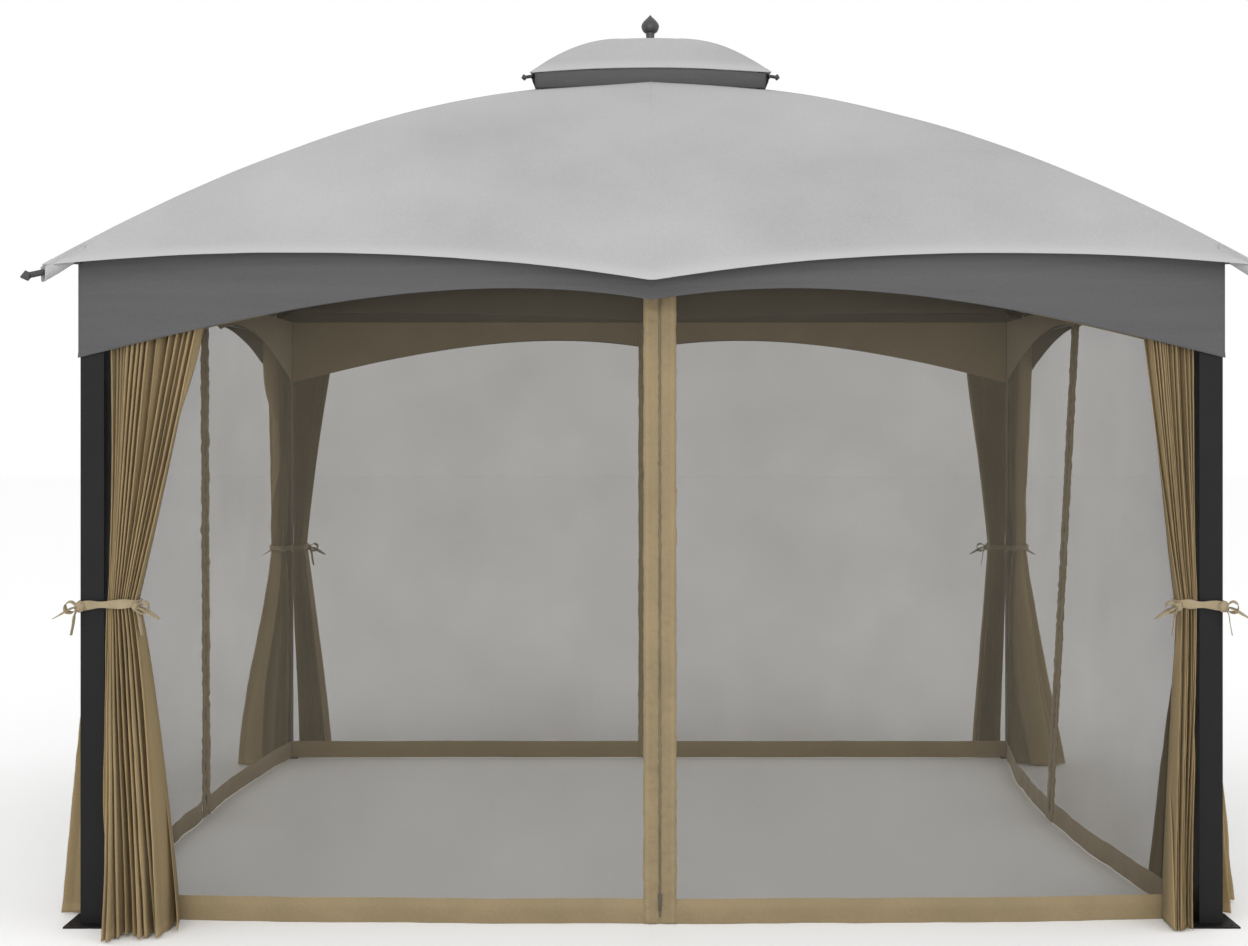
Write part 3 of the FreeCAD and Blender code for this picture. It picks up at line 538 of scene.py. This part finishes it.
def corner_pocket(corner):
    """A sleeve of roof cloth round the end of each hip rafter, open where its cap comes out."""
    sx, sy = CORNERS[corner]
    rows_n, verts = 16, []
    section = [(-1.0, 0.05), (-1.02, 0.5), (-0.8, 0.95), (0.0, 1.03), (0.8, 0.95), (1.02, 0.5), (1.0, 0.05)]
    across = Vector((-ROOF_TIP.y, ROOF_TIP.x, 0)).normalized()
    for i in range(rows_n + 1):
        t = 0.001 + 0.066 * i / rows_n
        point = quadratic(ROOF_TIP, ROOF_BEND, ROOF_RING, t)
        flare = 1 + 0.35 * (i / rows_n) ** 2
        half = 0.0165 * flare
        depth = 0.047 - 0.012 * (i / rows_n) ** 3
        for a, b in section:
            spot = point + across * (a * half) - Vector((0, 0, 0.001 + b * depth))
            spot += across * (0.0012 * ripple(i * 0.6, a * 2, b * 3))
            verts.append(Vector((-sx * spot.x, -sy * spot.y, spot.z)))
    faces = grid_faces(rows_n + 1, len(section), flip=sx * sy > 0)
    obj = mesh_piece(f"corner_pocket_{corner}", verts, faces, [ROOF_CLOTH], "root")
    thicken(obj, 0.0012, 1.0)
    return obj


def vent_piece():
    verts, faces, tints = [], [], []
    us = [0.0, 0.02, 0.04, 0.06] + steps(30, 0.09, 1.0)
    vs = seam_steps(44, 0.008)
    for along_x in (True, False):
        rows = vent_rows(along_x)
        for side in (1, -1):
            def relief(point, u, v):
                slack = math.sin(math.pi * v) * math.sin(math.pi * u)
                return -0.002 * slack + 0.0012 * ripple(point.x * 7, point.y * 7 + side, 3.0)

            def tint(u, v):
                return 0.8 * (1 - smooth((u - 0.02) / 0.12))

            ends = {"hem": 0.05, "both": True, "middle": False}
            points, edge = cloth_patch(rows, us, vs, 0.008, relief, tint, ends)
            first = len(verts)
            if along_x:
                verts += [Vector((p.x, p.y * side, p.z)) for p in points]
            else:
                verts += [Vector((p.x * side, p.y, p.z)) for p in points]
            tints += edge
            faces += grid_faces(len(us), len(vs), first, flip=(side > 0) != along_x)
    obj = mesh_piece("vent_cover", verts, faces, [ROOF_CLOTH], "root", edge=tints)
    thicken(weld(obj), 0.0016)
    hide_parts("vent_canopy")
    return obj


def skirt_piece():
    """The dark band between the two roofs: it hangs from the vent roof's edge and lies on the main roof."""
    verts, faces = [], []
    across, rows_n = 60, 9
    for along_x in (True, False):
        rows = vent_rows(along_x)
        foot_half, foot_out = SKIRT_FOOT if along_x else SKIRT_FOOT[::-1]
        for side in (1, -1):
            first = len(verts)
            for i in range(rows_n + 1):
                t = i / rows_n
                for j in range(across + 1):
                    v = j / across
                    top = patch_point(rows, 0.012, 0.012 + 0.976 * v)
                    if not along_x:
                        top = Vector((top.y, top.x, top.z))
                    along = foot_half * (2 * v - 1)
                    base = Vector((along, -foot_out, 0))
                    plan = (base.x, base.y) if along_x else (base.y, base.x)
                    base.z = roof_height(*plan) + 0.0025
                    top.z -= 0.006
                    point = top.lerp(base, t)
                    puff = 0.004 * math.sin(math.pi * t) + 0.0015 * ripple(along * 20, t * 3, side * 2.0)
                    point.y -= puff
                    point.y *= side
                    verts.append(point if along_x else Vector((point.y, point.x, point.z)))
            faces += grid_faces(rows_n + 1, across + 1, first, flip=(side < 0) == along_x)
    obj = mesh_piece("vent_skirt_band", verts, faces, [VALANCE_CLOTH], "root")
    thicken(weld(obj, 0.002), 0.0012)
    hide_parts("vent_skirt")
    return obj


# ---------------------------------------------------------------- valance

def arch_height(along, half):
    """Lower edge of the valance: one arch from each corner to the middle of the wall."""
    t = 1 - min(1.0, abs(along) / half)
    a, b, c, d = ARCH
    return a * (1 - t) ** 3 + 3 * b * t * (1 - t) ** 2 + 3 * c * t * t * (1 - t) + d * t ** 3


def valance_top(x, y, along, half):
    """The band reaches up to the roof, and is notched below the rafters."""
    notch = 1 - smooth((abs(along) - 0.018) / 0.02)
    notch = max(notch, 1 - smooth((half - abs(along) - 0.03) / 0.03))
    return roof_height(x, y) - 0.012 - 0.038 * notch


def valance_piece():
    verts, faces, tints = [], [], []
    rows_n = 30
    for along_x in (True, False):
        half, out = (VALANCE_X, VALANCE_Y) if along_x else (VALANCE_Y, VALANCE_X)
        count = int(half * 2 / 0.016)
        for side in (1, -1):
            first = len(verts)
            for i in range(rows_n + 1):
                t = i / rows_n
                for j in range(count + 1):
                    along = half * (2 * j / count - 1)
                    plan = (along, out) if along_x else (out, along)
                    low, high = arch_height(along, half), valance_top(*plan, along, half)
                    z = low + (high - low) * t
                    near_end = smooth((half - abs(along)) / 0.05)
                    waves = 0.0022 * ripple(along * 1.3, z * 22.0, side * 3.1 + out)
                    waves += 0.0014 * ripple(along * 4.0, z * 55.0, side * 5.7 + out)
                    belly = 0.003 * math.sin(math.pi * t)
                    hem = 0.0012 if z - low < 0.016 else 0.0
                    push = (waves + belly) * near_end + hem
                    place = out + push
                    point = Vector((along, side * place, z)) if along_x else Vector((side * place, along, z))
                    verts.append(point)
                    tints.append(0.0)
            faces += grid_faces(rows_n + 1, count + 1, first, flip=(side > 0) == along_x)
    obj = mesh_piece("valance_band", verts, faces, [VALANCE_CLOTH], "root")
    thicken(weld(obj, 0.0008), 0.0014)
    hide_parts("valance")
    return obj


# ---------------------------------------------------------------- netting

def zip_line(wall, z):
    """Where a wall's straight zip is along the wall, and how far out of the netting's plane, at a height."""
    top, foot, shift = WALLS[wall][2:]
    share = 1 - z / NET_TOP
    return top + (foot - top) * share, shift * share


def hang_out(wall, along, z):
    """How far the netting stands out of its plane: it billows between the posts and hangs in soft folds."""
    half, _, _ = wall_plan(wall)
    zip_along, shift = zip_line(wall, z)
    end = half - 0.02
    span = (end - zip_along) if along > zip_along else (zip_along + end)
    share = min(1.0, max(0.0, 1 - abs(along - zip_along) / max(0.1, span)))
    billow = shift * math.sin(math.pi / 2 * share) ** (0.55 if wall == "front" else 0.8)
    fall = 1 - z / NET_TOP
    free = smooth((1 - share) / 0.08) * smooth(share / 0.10)
    seed = list(WALLS).index(wall) * 7.3
    folds = 0.007 * ripple(along * 3.2, z * 0.35, seed) + 0.003 * ripple(along * 9.0, z * 0.8, seed + 2)
    return billow + folds * (0.35 + fall) * free


def net_panel(wall, side, name):
    half, _, plane = wall_plan(wall)
    end = (NET_X if WALLS[wall][0] else NET_Y) - 0.002
    hem_rows, net_rows, band_rows, cols = 4, 44, 8, 72
    verts, face_mats, tints = [], [], []
    rows_n = hem_rows + net_rows + band_rows
    for i in range(rows_n + 1):
        for j in range(cols + 1):
            share = j / cols

            def spot(z):
                near = zip_line(wall, z)[0] + side * (FLAP_WIDTH - 0.003)
                return side * end + (near - side * end) * share

            arch = arch_height(spot(1.9), half + POST_HALF) + (0.014 if wall == "front" else 0.0)
            if i <= hem_rows:
                z = NET_FOOT + (HEM_TOP - NET_FOOT) * i / hem_rows
            elif i <= hem_rows + net_rows:
                z = HEM_TOP + (arch - HEM_TOP) * (i - hem_rows) / net_rows
            else:
                z = arch + (NET_TOP - arch) * (i - hem_rows - net_rows) / band_rows
            along = spot(z)
            out = plane + hang_out(wall, along, z)
            if i <= hem_rows:
                out += (0.004 * math.sin(i / hem_rows * math.pi)
                        + 0.003 * ripple(along * 14, z * 20, side * 2.0))
            verts.append(on_wall(wall, along, out, z))
            tints.append(0.25 if i in (hem_rows, hem_rows - 1) else 0.0)
    for i in range(rows_n):
        solid = i < hem_rows or i >= hem_rows + net_rows
        face_mats += [1 if solid else 0] * cols
    faces = grid_faces(rows_n + 1, cols + 1)
    obj = mesh_piece(f"netting_{wall}_{name}", verts, faces, [NET_MESH, BAND_CLOTH], "root",
                     face_mats, tints)
    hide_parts(f"net_{wall}")
    width = abs(zip_line(wall, 1.0)[0] + side * FLAP_WIDTH - side * end)
    if WALLS[wall][2] == WALLS[wall][3]:
        on_wall(wall, 1, 0, 0)
        on_wall(wall, side * end, plane, 1)
        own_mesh(obj)
    else:
        nearest = min(abs(zip_line(wall, z)[0] + side * FLAP_WIDTH - side * end) for z in (0.0, NET_TOP))
        start = on_wall(wall, side * (end - 0.06), plane, 1)
        stop = on_wall(wall, side * (end - nearest), plane, 1)
        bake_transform(free_of_body(obj))
    return obj


def free_of_body(obj):
    """Takes a piece off its body so that it rides on none, keeping it where it is."""
    world = obj.matrix_world.copy()
    obj.parent = None
    obj.matrix_world = world
    return obj


def zip_flap(wall, side, name):
    """A puckered cloth flap along the zip, with its glider in the rail."""
    _, beam, plane = wall_plan(wall)
    rows_n, cols = 260, 8
    body = f"net_edge_{wall}_{name}"
    verts = []
    seed = list(WALLS).index(wall) * 3.3 + side
    loop = [(c / cols, 1) for c in range(cols + 1)] + [(c / cols, -1) for c in range(cols, -1, -1)]
    for i in range(rows_n + 1):
        z = NET_FOOT + (NET_TOP - NET_FOOT) * i / rows_n
        centre, _ = zip_line(wall, z)
        pull = 0.0030 * ripple(z * 16, seed) + 0.0016 * ripple(z * 45, seed + 4)
        for share, face in loop:
            across = 0.0003 + (FLAP_WIDTH - 0.0003) * share
            if share > 0.9:
                across += pull
            along = centre + side * across
            puff = 0.0016 + 0.0026 * math.sin(math.pi * share) ** 0.5
            pucker = 0.0075 * ripple(z * 34, across * 26, seed) * math.sin(math.pi * share) ** 0.4
            pucker += 0.0030 * ripple(z * 80, across * 50, seed + 9)
            stitch = -0.0012 if abs(share - 0.75) < 0.07 or share < 0.14 else 0.0
            out = plane + hang_out(wall, along, z) + pucker + face * (puff + stitch)
            verts.append(on_wall(wall, along, out, z))
    count = len(loop)
    faces = grid_faces(rows_n + 1, count, wrap=True)
    faces += [tuple(range(count - 1, -1, -1)), tuple(range(rows_n * count, (rows_n + 1) * count))]
    obj = mesh_piece(f"zip_flap_{wall}_{name}", verts, faces, [BAND_CLOTH], body,
                     edge=[0.3 if abs(s - 0.75) < 0.07 else 0.0 for _ in range(rows_n + 1) for s, _ in loop])
    weld(obj, 0.00001)
    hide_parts(body)
    low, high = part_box("net_rails")
    rail_z = (low[2] + high[2]) / 2
    along = zip_line(wall, rail_z)[0] + side * FLAP_WIDTH / 2
    face_out = beam - 0.020
    boxes = [
        (on_wall(wall, along - 0.01, face_out - 0.0025, rail_z - 0.0075),
         on_wall(wall, along + 0.01, face_out - 0.0155, rail_z + 0.0075)),
        (on_wall(wall, along - 0.008, face_out - 0.014, rail_z - 0.002),
         on_wall(wall, along + 0.008, plane, rail_z + 0.002)),
    ]
    bevelled_boxes(f"net_glider_{wall}_{name}", boxes, 0.0008, CAP_PLASTIC, body)
    return obj


def zip_coil(wall, name):
    """The zip's teeth, on both faces of the flaps."""
    _, _, plane = wall_plan(wall)
    rows_n = 620
    verts = []
    profile = [(-0.0034, 0.0012), (-0.0022, 0.0030), (0.0022, 0.0030), (0.0034, 0.0012),
               (0.0034, -0.0012), (0.0022, -0.0030), (-0.0022, -0.0030), (-0.0034, -0.0012)]
    for i in range(rows_n + 1):
        z = NET_FOOT + 0.02 + (NET_TOP - 0.06 - NET_FOOT) * i / rows_n
        centre, _ = zip_line(wall, z)
        out = plane + hang_out(wall, centre, z)
        tooth = 1.25 if i % 2 else 0.85
        for across, depth in profile:
            verts.append(on_wall(wall, centre + across * tooth, out + depth * tooth, z))
    faces = grid_faces(rows_n + 1, len(profile), wrap=True)
    count = len(profile)
    faces += [tuple(range(count - 1, -1, -1)), tuple(range(rows_n * count, (rows_n + 1) * count))]
    obj = mesh_piece(f"zip_teeth_{wall}", verts, faces, [ZIP_COIL], f"net_edge_{wall}_{name}")
    return weld(obj, 0.00001)


# ---------------------------------------------------------------- curtains

# Each curtain's width at the rail, at the tie and at the foot, and how far its foot reaches outward
CURTAINS = {
    "front_left": (0.292, 0.084, 0.200, 0.235),
    "front_right": (0.158, 0.052, 0.060, 0.120),
    "back_left": (0.180, 0.048, 0.130, 0.110),
    "back_right": (0.188, 0.066, 0.110, 0.110),
    "left_front": (0.240, 0.070, 0.170, 0.152),
    "right_front": (0.240, 0.070, 0.340, 0.160),
    "left_back": (0.290, 0.086, 0.205, 0.188),
    "right_back": (0.200, 0.070, 0.190, 0.186),
}
WAIST = (TIE_Z - CURTAIN_FOOT) / (CURTAIN_TOP - CURTAIN_FOOT)
# Each panel is cut to close its half of the wall, and is gathered into folds this deep on average
CURTAIN_CUT = {True: 1.60, False: 1.30}
FOLD_DEPTH = {"upper": 0.056, "lower": 0.094}


def waist_out(wall):
    """How far the gathered cloth stands outward at the tie: less on the side walls."""
    return 0.064 if WALLS[wall][0] else 0.032


def curtain_size(wall, key, share):
    """Offset from the post, width, and the inner and outer faces of a curtain at a share of its height."""
    top, waist, foot, reach = CURTAINS[key]
    if share >= WAIST:
        t = (share - WAIST) / (1 - WAIST)
        width = waist + (top - waist) * t ** 1.05
        high = 0.030 + (waist_out(wall) - 0.030) * (1 - t) ** 4
        low = -0.034 + 0.018 * (1 - t) ** 5
    else:
        t = (WAIST - share) / WAIST
        width = waist + (foot - waist) * t ** 0.8
        high = waist_out(wall) + (reach - waist_out(wall)) * t ** 1.2
        low = -0.034 + 0.018 * (1 - t) ** 5 - (0.03 * t if wall == "right" else 0.0)
    return 0.004 + 0.026 * smooth((WAIST - share) / WAIST), width, low, high


def curtain_point(wall, side, key, s, share, seed, folds):
    """A point of a gathered curtain, s of the way across from the post, and the strength of the painted
    shade in its fold there.
    """
    half, out0, plane = wall_plan(wall)
    offset, width, low, high = curtain_size(wall, key, share)
    z = CURTAIN_FOOT + (CURTAIN_TOP - CURTAIN_FOOT) * share
    near_tie = math.exp(-((share - WAIST) / 0.10) ** 2)
    warp = s + 0.15 * ripple(s * 2.7 + seed, share * 0.8) + 0.04 * ripple(s * 6.3, share * 2.1, seed)
    phase = 2 * math.pi * folds * warp + 1.1 * ripple(seed, share * 1.7) + seed
    depth = high - low
    size = 0.72 + 0.8 * ripple(s * folds * 0.55 + seed, share * 1.1, seed)
    size = min(1.0, max(0.50, size)) * (1 - 0.20 * smooth((depth - 0.08) / 0.14))
    place = min(1.0, max(0.0, 0.62 + 1.3 * ripple(s * 2.6 + seed, share * 1.2, 4.0)))
    swing = math.sin(phase)
    wave = math.copysign(abs(swing) ** 0.85, swing)
    across = low + depth * (size / 2 + (1 - size) * place + size / 2 * wave)
    if "back" in key:
        across += (low - across) * smooth(1 - s / 0.14)
    elif share < WAIST:
        across += (0.3 * low + 0.7 * high - across) * 0.6 * smooth(1 - s / 0.12)
        if wall == "right":
            across += (low - across) * smooth((s - 0.7) / 0.25)
    along = offset + width * (s + 0.27 / folds * math.sin(2 * phase + 0.5))
    creases = 0.0035 * ripple(s * 11 + share * 9 + seed, share * 14, s * 4) * (0.25 + near_tie)
    creases += 0.0016 * ripple(s * 26 + seed, share * 30) + 0.0030 * ripple(s * 5, share * 7, seed + 8)
    across += creases
    net = plane - out0 + hang_out(wall, side * (half - max(0.0, along)), z) + 0.008
    across = min(high + 0.006, max(low - 0.003, net, across))
    point = on_wall(wall, side * (half - 0.008 - max(-0.002, along)), out0 + across, z)
    # Painted fold shade: strongest where the cloth lies deepest in a fold, a quarter as strong on the back
    # wall.
    return point, smooth((0.2 - swing) / 1.2) * size * (0.25 if wall == "back" else 1.0)


def curtain_piece(wall, side, name):
    """A curtain in two pieces that meet below the tie: the upper one is taken off its body."""
    key = f"{wall}_{name}"
    node = f"curtain_{key}"
    seed = (list(WALLS).index(wall) * 2 + (side > 0)) * 5.3 + 1.3
    made = []
    cut = CURTAIN_CUT[WALLS[wall][0]]
    for part, low, high in (("upper", WAIST, 1.0), ("lower", 0.0, WAIST)):
        folds = round(cut / (2 * FOLD_DEPTH[part]))
        cols, rows_n, verts, tints, fold_shades = folds * 18, 84, [], [], []
        for share in steps(rows_n, low, high):
            for j in range(cols + 1):
                # Each point also gets the strength of its painted fold shade.
                point, fold_shade = curtain_point(wall, side, key, j / cols, share, seed, folds)
                verts.append(point)
                fold_shades.append(fold_shade)
                tints.append(0.5 if j < 3 or j > cols - 3 or share < 0.014 else 0.0)
        faces = grid_faces(rows_n + 1, cols + 1)
        obj = mesh_piece(f"drape_{key}_{part}", verts, faces, [CURTAIN_CLOTH], "root",
                         edge=tints, fold_shade=fold_shades)
        thicken(obj, 0.0012, 0.0)
        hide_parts(node)
        made.append(obj)
    upper, lower = made
    half, out0, _ = wall_plan(wall)
    lead_low, lead_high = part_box(f"curtain_lead_{key}")
    lead_along = sum(end[0 if WALLS[wall][0] else 1] for end in (lead_low, lead_high)) / 2
    start = on_wall(wall, side * (half - 0.115), out0, 1)
    stop = on_wall(wall, lead_along + side * 0.012, out0, 1)
    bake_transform(free_of_body(upper))
    return made


# ---------------------------------------------------------------- ties

def ribbon(name, path, width, thickness, wide_axis, material, body, closed=False):
    """A flat strap along a smooth path. wide_axis gives the direction of its width at each share."""
    count = len(path)
    verts = []
    for i, point in enumerate(path):
        before = path[i - 1] if (i or closed) else path[0]
        after = path[(i + 1) % count] if (i + 1 < count or closed) else path[-1]
        tangent = (after - before).normalized()
        wide = wide_axis(i / max(1, count - 1))
        wide = (wide - tangent * wide.dot(tangent)).normalized()
        normal = tangent.cross(wide)
        half_w, half_t = width(i / max(1, count - 1)) / 2, thickness / 2
        ring = [(-1, -0.4), (-0.5, -1), (0.5, -1), (1, -0.4), (1, 0.4), (0.5, 1), (-0.5, 1), (-1, 0.4)]
        for a, b in ring:
            crumple = 0.0008 * ripple(i * 0.7, a * 2, b)
            verts.append(point + wide * (a * half_w) + normal * (b * half_t + crumple))
    cols = 8
    faces = grid_faces(count, cols, wrap=True)
    if closed:
        last = (count - 1) * cols
        faces += [(last + j, last + (j + 1) % cols, (j + 1) % cols, j) for j in range(cols)]
    else:
        faces += [tuple(range(cols - 1, -1, -1)), tuple(range((count - 1) * cols, count * cols))]
    obj = mesh_piece(name, verts, faces, [material], body)
    work = bmesh.new()
    work.from_mesh(obj.data)
    bmesh.ops.recalc_face_normals(work, faces=work.faces)
    work.to_mesh(obj.data)
    work.free()
    return obj


def smooth_path(points, per_span, closed=False):
    """A Catmull-Rom path through the points."""
    path, n = [], len(points)
    spans = n if closed else n - 1
    for i in range(spans):
        p0 = points[(i - 1) % n] if (closed or i) else points[0]
        p1, p2 = points[i], points[(i + 1) % n]
        p3 = points[(i + 2) % n] if (closed or i + 2 < n) else points[-1]
        for k in range(per_span):
            t = k / per_span
            path.append(0.5 * ((2 * p1) + (p2 - p0) * t + (2 * p0 - 5 * p1 + 4 * p2 - p3) * t * t
                               + (3 * p1 - p0 - 3 * p2 + p3) * t ** 3))
    if not closed:
        path.append(points[-1])
    return path


def knot_piece(name, centre, size, seed):
    """A small crumpled knot."""
    work = bmesh.new()
    bmesh.ops.create_icosphere(work, subdivisions=4, radius=1.0)
    for vert in work.verts:
        folds = 0.16 * ripple(vert.co.x * 2.4 + seed, vert.co.y * 2.4, vert.co.z * 2.4)
        wrap = 0.10 * math.sin(vert.co.z * 9 + vert.co.x * 5 + seed)
        vert.co *= 1 + folds + wrap * (1 - abs(vert.co.z))
        vert.co = Vector((vert.co.x * size[0], vert.co.y * size[1], vert.co.z * size[2]))
        vert.co += centre
    mesh = bpy.data.meshes.new(name)
    work.to_mesh(mesh)
    work.free()
    mesh.materials.append(TIE_CLOTH)
    for polygon in mesh.polygons:
        polygon.use_smooth = True
    obj = bpy.data.objects.new(name, mesh)
    bpy.context.scene.collection.objects.link(obj)
    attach(obj, "root")
    return obj


def tie_set(corner):
    """A band round a post and its two curtains, with knots, bows and hanging tails."""
    sx, sy = CORNERS[corner]
    end, side = corner.split("_")
    reach_x = -POST_HALF - 0.020 - CURTAINS[corner][1]
    reach_y = -POST_HALF - 0.020 - CURTAINS[f"{side}_{end}"][1]

    def at(x, y, z=0.0):
        return Vector((sx * (POST_X + x), sy * (POST_Y + y), TIE_Z + z))

    near, far_x, far_y, clear = 0.023, POST_HALF + 0.005, waist_out("front") + 0.006, POST_HALF + 0.005
    outline = [
        at(far_x, POST_HALF + 0.004, -0.003), at(0.0, POST_HALF + 0.010, 0.001),
        at(-POST_HALF - 0.012, far_y - 0.004, 0.004), at(reach_x * 0.72, far_y, 0.006),
        at(reach_x + 0.004, far_y - 0.020, 0.007), at(reach_x, 0.012, 0.004),
        at(reach_x + 0.012, -near, 0.0), at(-clear - 0.012, -near - 0.002, -0.002),
        at(-clear, -clear, -0.002), at(-near - 0.002, -clear - 0.012, -0.002),
        at(-near, reach_y + 0.012, 0.0), at(0.006, reach_y, 0.004),
        at(far_x - 0.004, reach_y + 0.014, 0.005), at(far_x + 0.002, reach_y * 0.6, 0.003),
        at(far_x + 0.001, -0.01, 0.0),
    ]
    path = smooth_path(outline, 9, closed=True)
    band = ribbon(f"tie_band_{corner}", path, lambda s: 0.024 + 0.005 * math.sin(s * 40), 0.0036,
                  lambda s: Vector((0, 0.15 * math.sin(s * 12), 1)), TIE_CLOTH, "root",
                  closed=True)
    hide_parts("curtain_ties")
    spots = {
        "outer": (at(far_x - 0.006, POST_HALF + 0.014, -0.004), Vector((sx, 0, 0)), 0.016),
        "inner": (at(reach_x + 0.002, far_y - 0.014, -0.004), Vector((-sx, 0, 0)), 0.013),
    }
    for label, (centre, way, radius) in spots.items():
        seed = sx * 2 + sy * 5 + radius * 100
        knot_piece(f"tie_knot_{corner}_{label}", centre, (radius, radius * 0.8, radius * 1.05), seed)
        tails = {
            "tail_a": [(0.004, 0.0), (0.026, -0.006), (0.050, -0.020), (0.074, -0.034)],
            "tail_b": [(0.002, -0.004), (0.012, -0.024), (0.016, -0.052), (0.022, -0.084)],
            "loop": [(0.004, 0.002), (0.022, 0.016), (0.038, 0.008), (0.036, -0.012), (0.018, -0.016),
                     (0.004, -0.004)],
        }
        for kind, points in tails.items():
            curve = [centre + way * a + Vector((0, sy * (0.006 + 0.12 * a), b)) for a, b in points]
            ribbon(f"tie_{kind}_{corner}_{label}", smooth_path(curve, 8),
                   lambda s: 0.015 + 0.004 * math.sin(math.pi * s), 0.0024,
                   lambda s: Vector((0.2, 1.0, 0.6 * math.sin(3 * s))), TIE_CLOTH, "root")


# ---------------------------------------------------------------- stage

def stage():
    mesh = bpy.data.meshes.new("floor")
    size = 60
    corners = [(-size, -size, 0), (size, -size, 0), (size, size, 0), (-size, size, 0)]
    mesh.from_pydata(corners, [], [(0, 1, 2, 3)])
    mat, nodes, links, shader = new_material("floor_pale")
    shader.inputs["Base Color"].default_value = (0.98, 0.98, 0.98, 1)
    shader.inputs["Roughness"].default_value = 0.9
    mesh.materials.append(mat)
    floor = bpy.data.objects.new("floor", mesh)
    bpy.context.scene.collection.objects.link(floor)


def area_light(name, place, target, size, power):
    data = bpy.data.lights.new(name, "AREA")
    data.energy = power
    data.size = size
    light = bpy.data.objects.new(name, data)
    light.location = place
    light.rotation_euler = (Vector(target) - Vector(place)).to_track_quat("-Z", "Y").to_euler()
    bpy.context.scene.collection.objects.link(light)


def lighting():
    world = bpy.data.worlds.new("studio")
    world.use_nodes = True
    world.node_tree.nodes["Background"].inputs["Color"].default_value = (1, 1, 1, 1)
    world.node_tree.nodes["Background"].inputs["Strength"].default_value = 1.0
    bpy.context.scene.world = world
    area_light("key", (-5.0, -9.0, 8.0), (0, 0, 1.4), 6.0, 150)
    area_light("fill", (7.0, -7.0, 6.0), (0, 0, 1.4), 6.0, 90)
    area_light("front", (0, -8.5, 1.7), (0, 0, 1.2), 5.0, 170)
    area_light("inside", (0, 0, 1.9), (0, 0, 0), 2.0, 9)
    bpy.context.scene.view_settings.view_transform = "Standard"


def camera():
    data = bpy.data.cameras.new("camera")
    data.sensor_width = 36.0
    data.lens = 50.2
    data.shift_x = -0.0168
    data.shift_y = -0.028
    data.clip_end = 200
    cam = bpy.data.objects.new("camera", data)
    cam.location = (-0.02, -6.615, 1.458)
    cam.rotation_euler = (math.pi / 2, 0, 0)
    bpy.context.scene.collection.objects.link(cam)
    bpy.context.scene.camera = cam


def paint(nodes, material):
    """Gives carried-over CAD parts their material."""
    for name in nodes:
        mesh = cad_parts[name].data
        mesh.materials.clear()
        mesh.materials.append(material)


camera()
lighting()
stage()
paint([f"post_{corner}" for corner in CORNERS], FRAME_STEEL)
paint(["base_plates", "corner_brackets", "long_beams", "short_beams", "beam_sleeves"], FRAME_STEEL)
paint(["hip_rafters", "mid_rafters", "roof_ring", "vent_legs", "vent_rafters", "vent_hub"], FRAME_STEEL)
paint(["net_rails", "curtain_rails"], RAIL_METAL)
paint(["frame_bolts"], BOLT_METAL)
paint(["rafter_caps", "vent_caps"], CAP_PLASTIC)
paint(["finial"], FINIAL_METAL)
paint([f"zip_slider_{wall}" for wall in WALLS], ZIP_METAL)
roof_piece()
for corner in CORNERS:
    corner_pocket(corner)
vent_piece()
skirt_piece()
valance_piece()
for wall, plan in WALLS.items():
    names = ("left", "right") if plan[0] else ("front", "back")
    for side, name in zip((-1, 1), names):
        paint([f"curtain_lead_{wall}_{name}"], CAP_PLASTIC)
        net_panel(wall, side, name)
        zip_flap(wall, side, name)
        curtain_piece(wall, side, name)
    zip_coil(wall, names[0])
for corner in CORNERS:
    tie_set(corner)
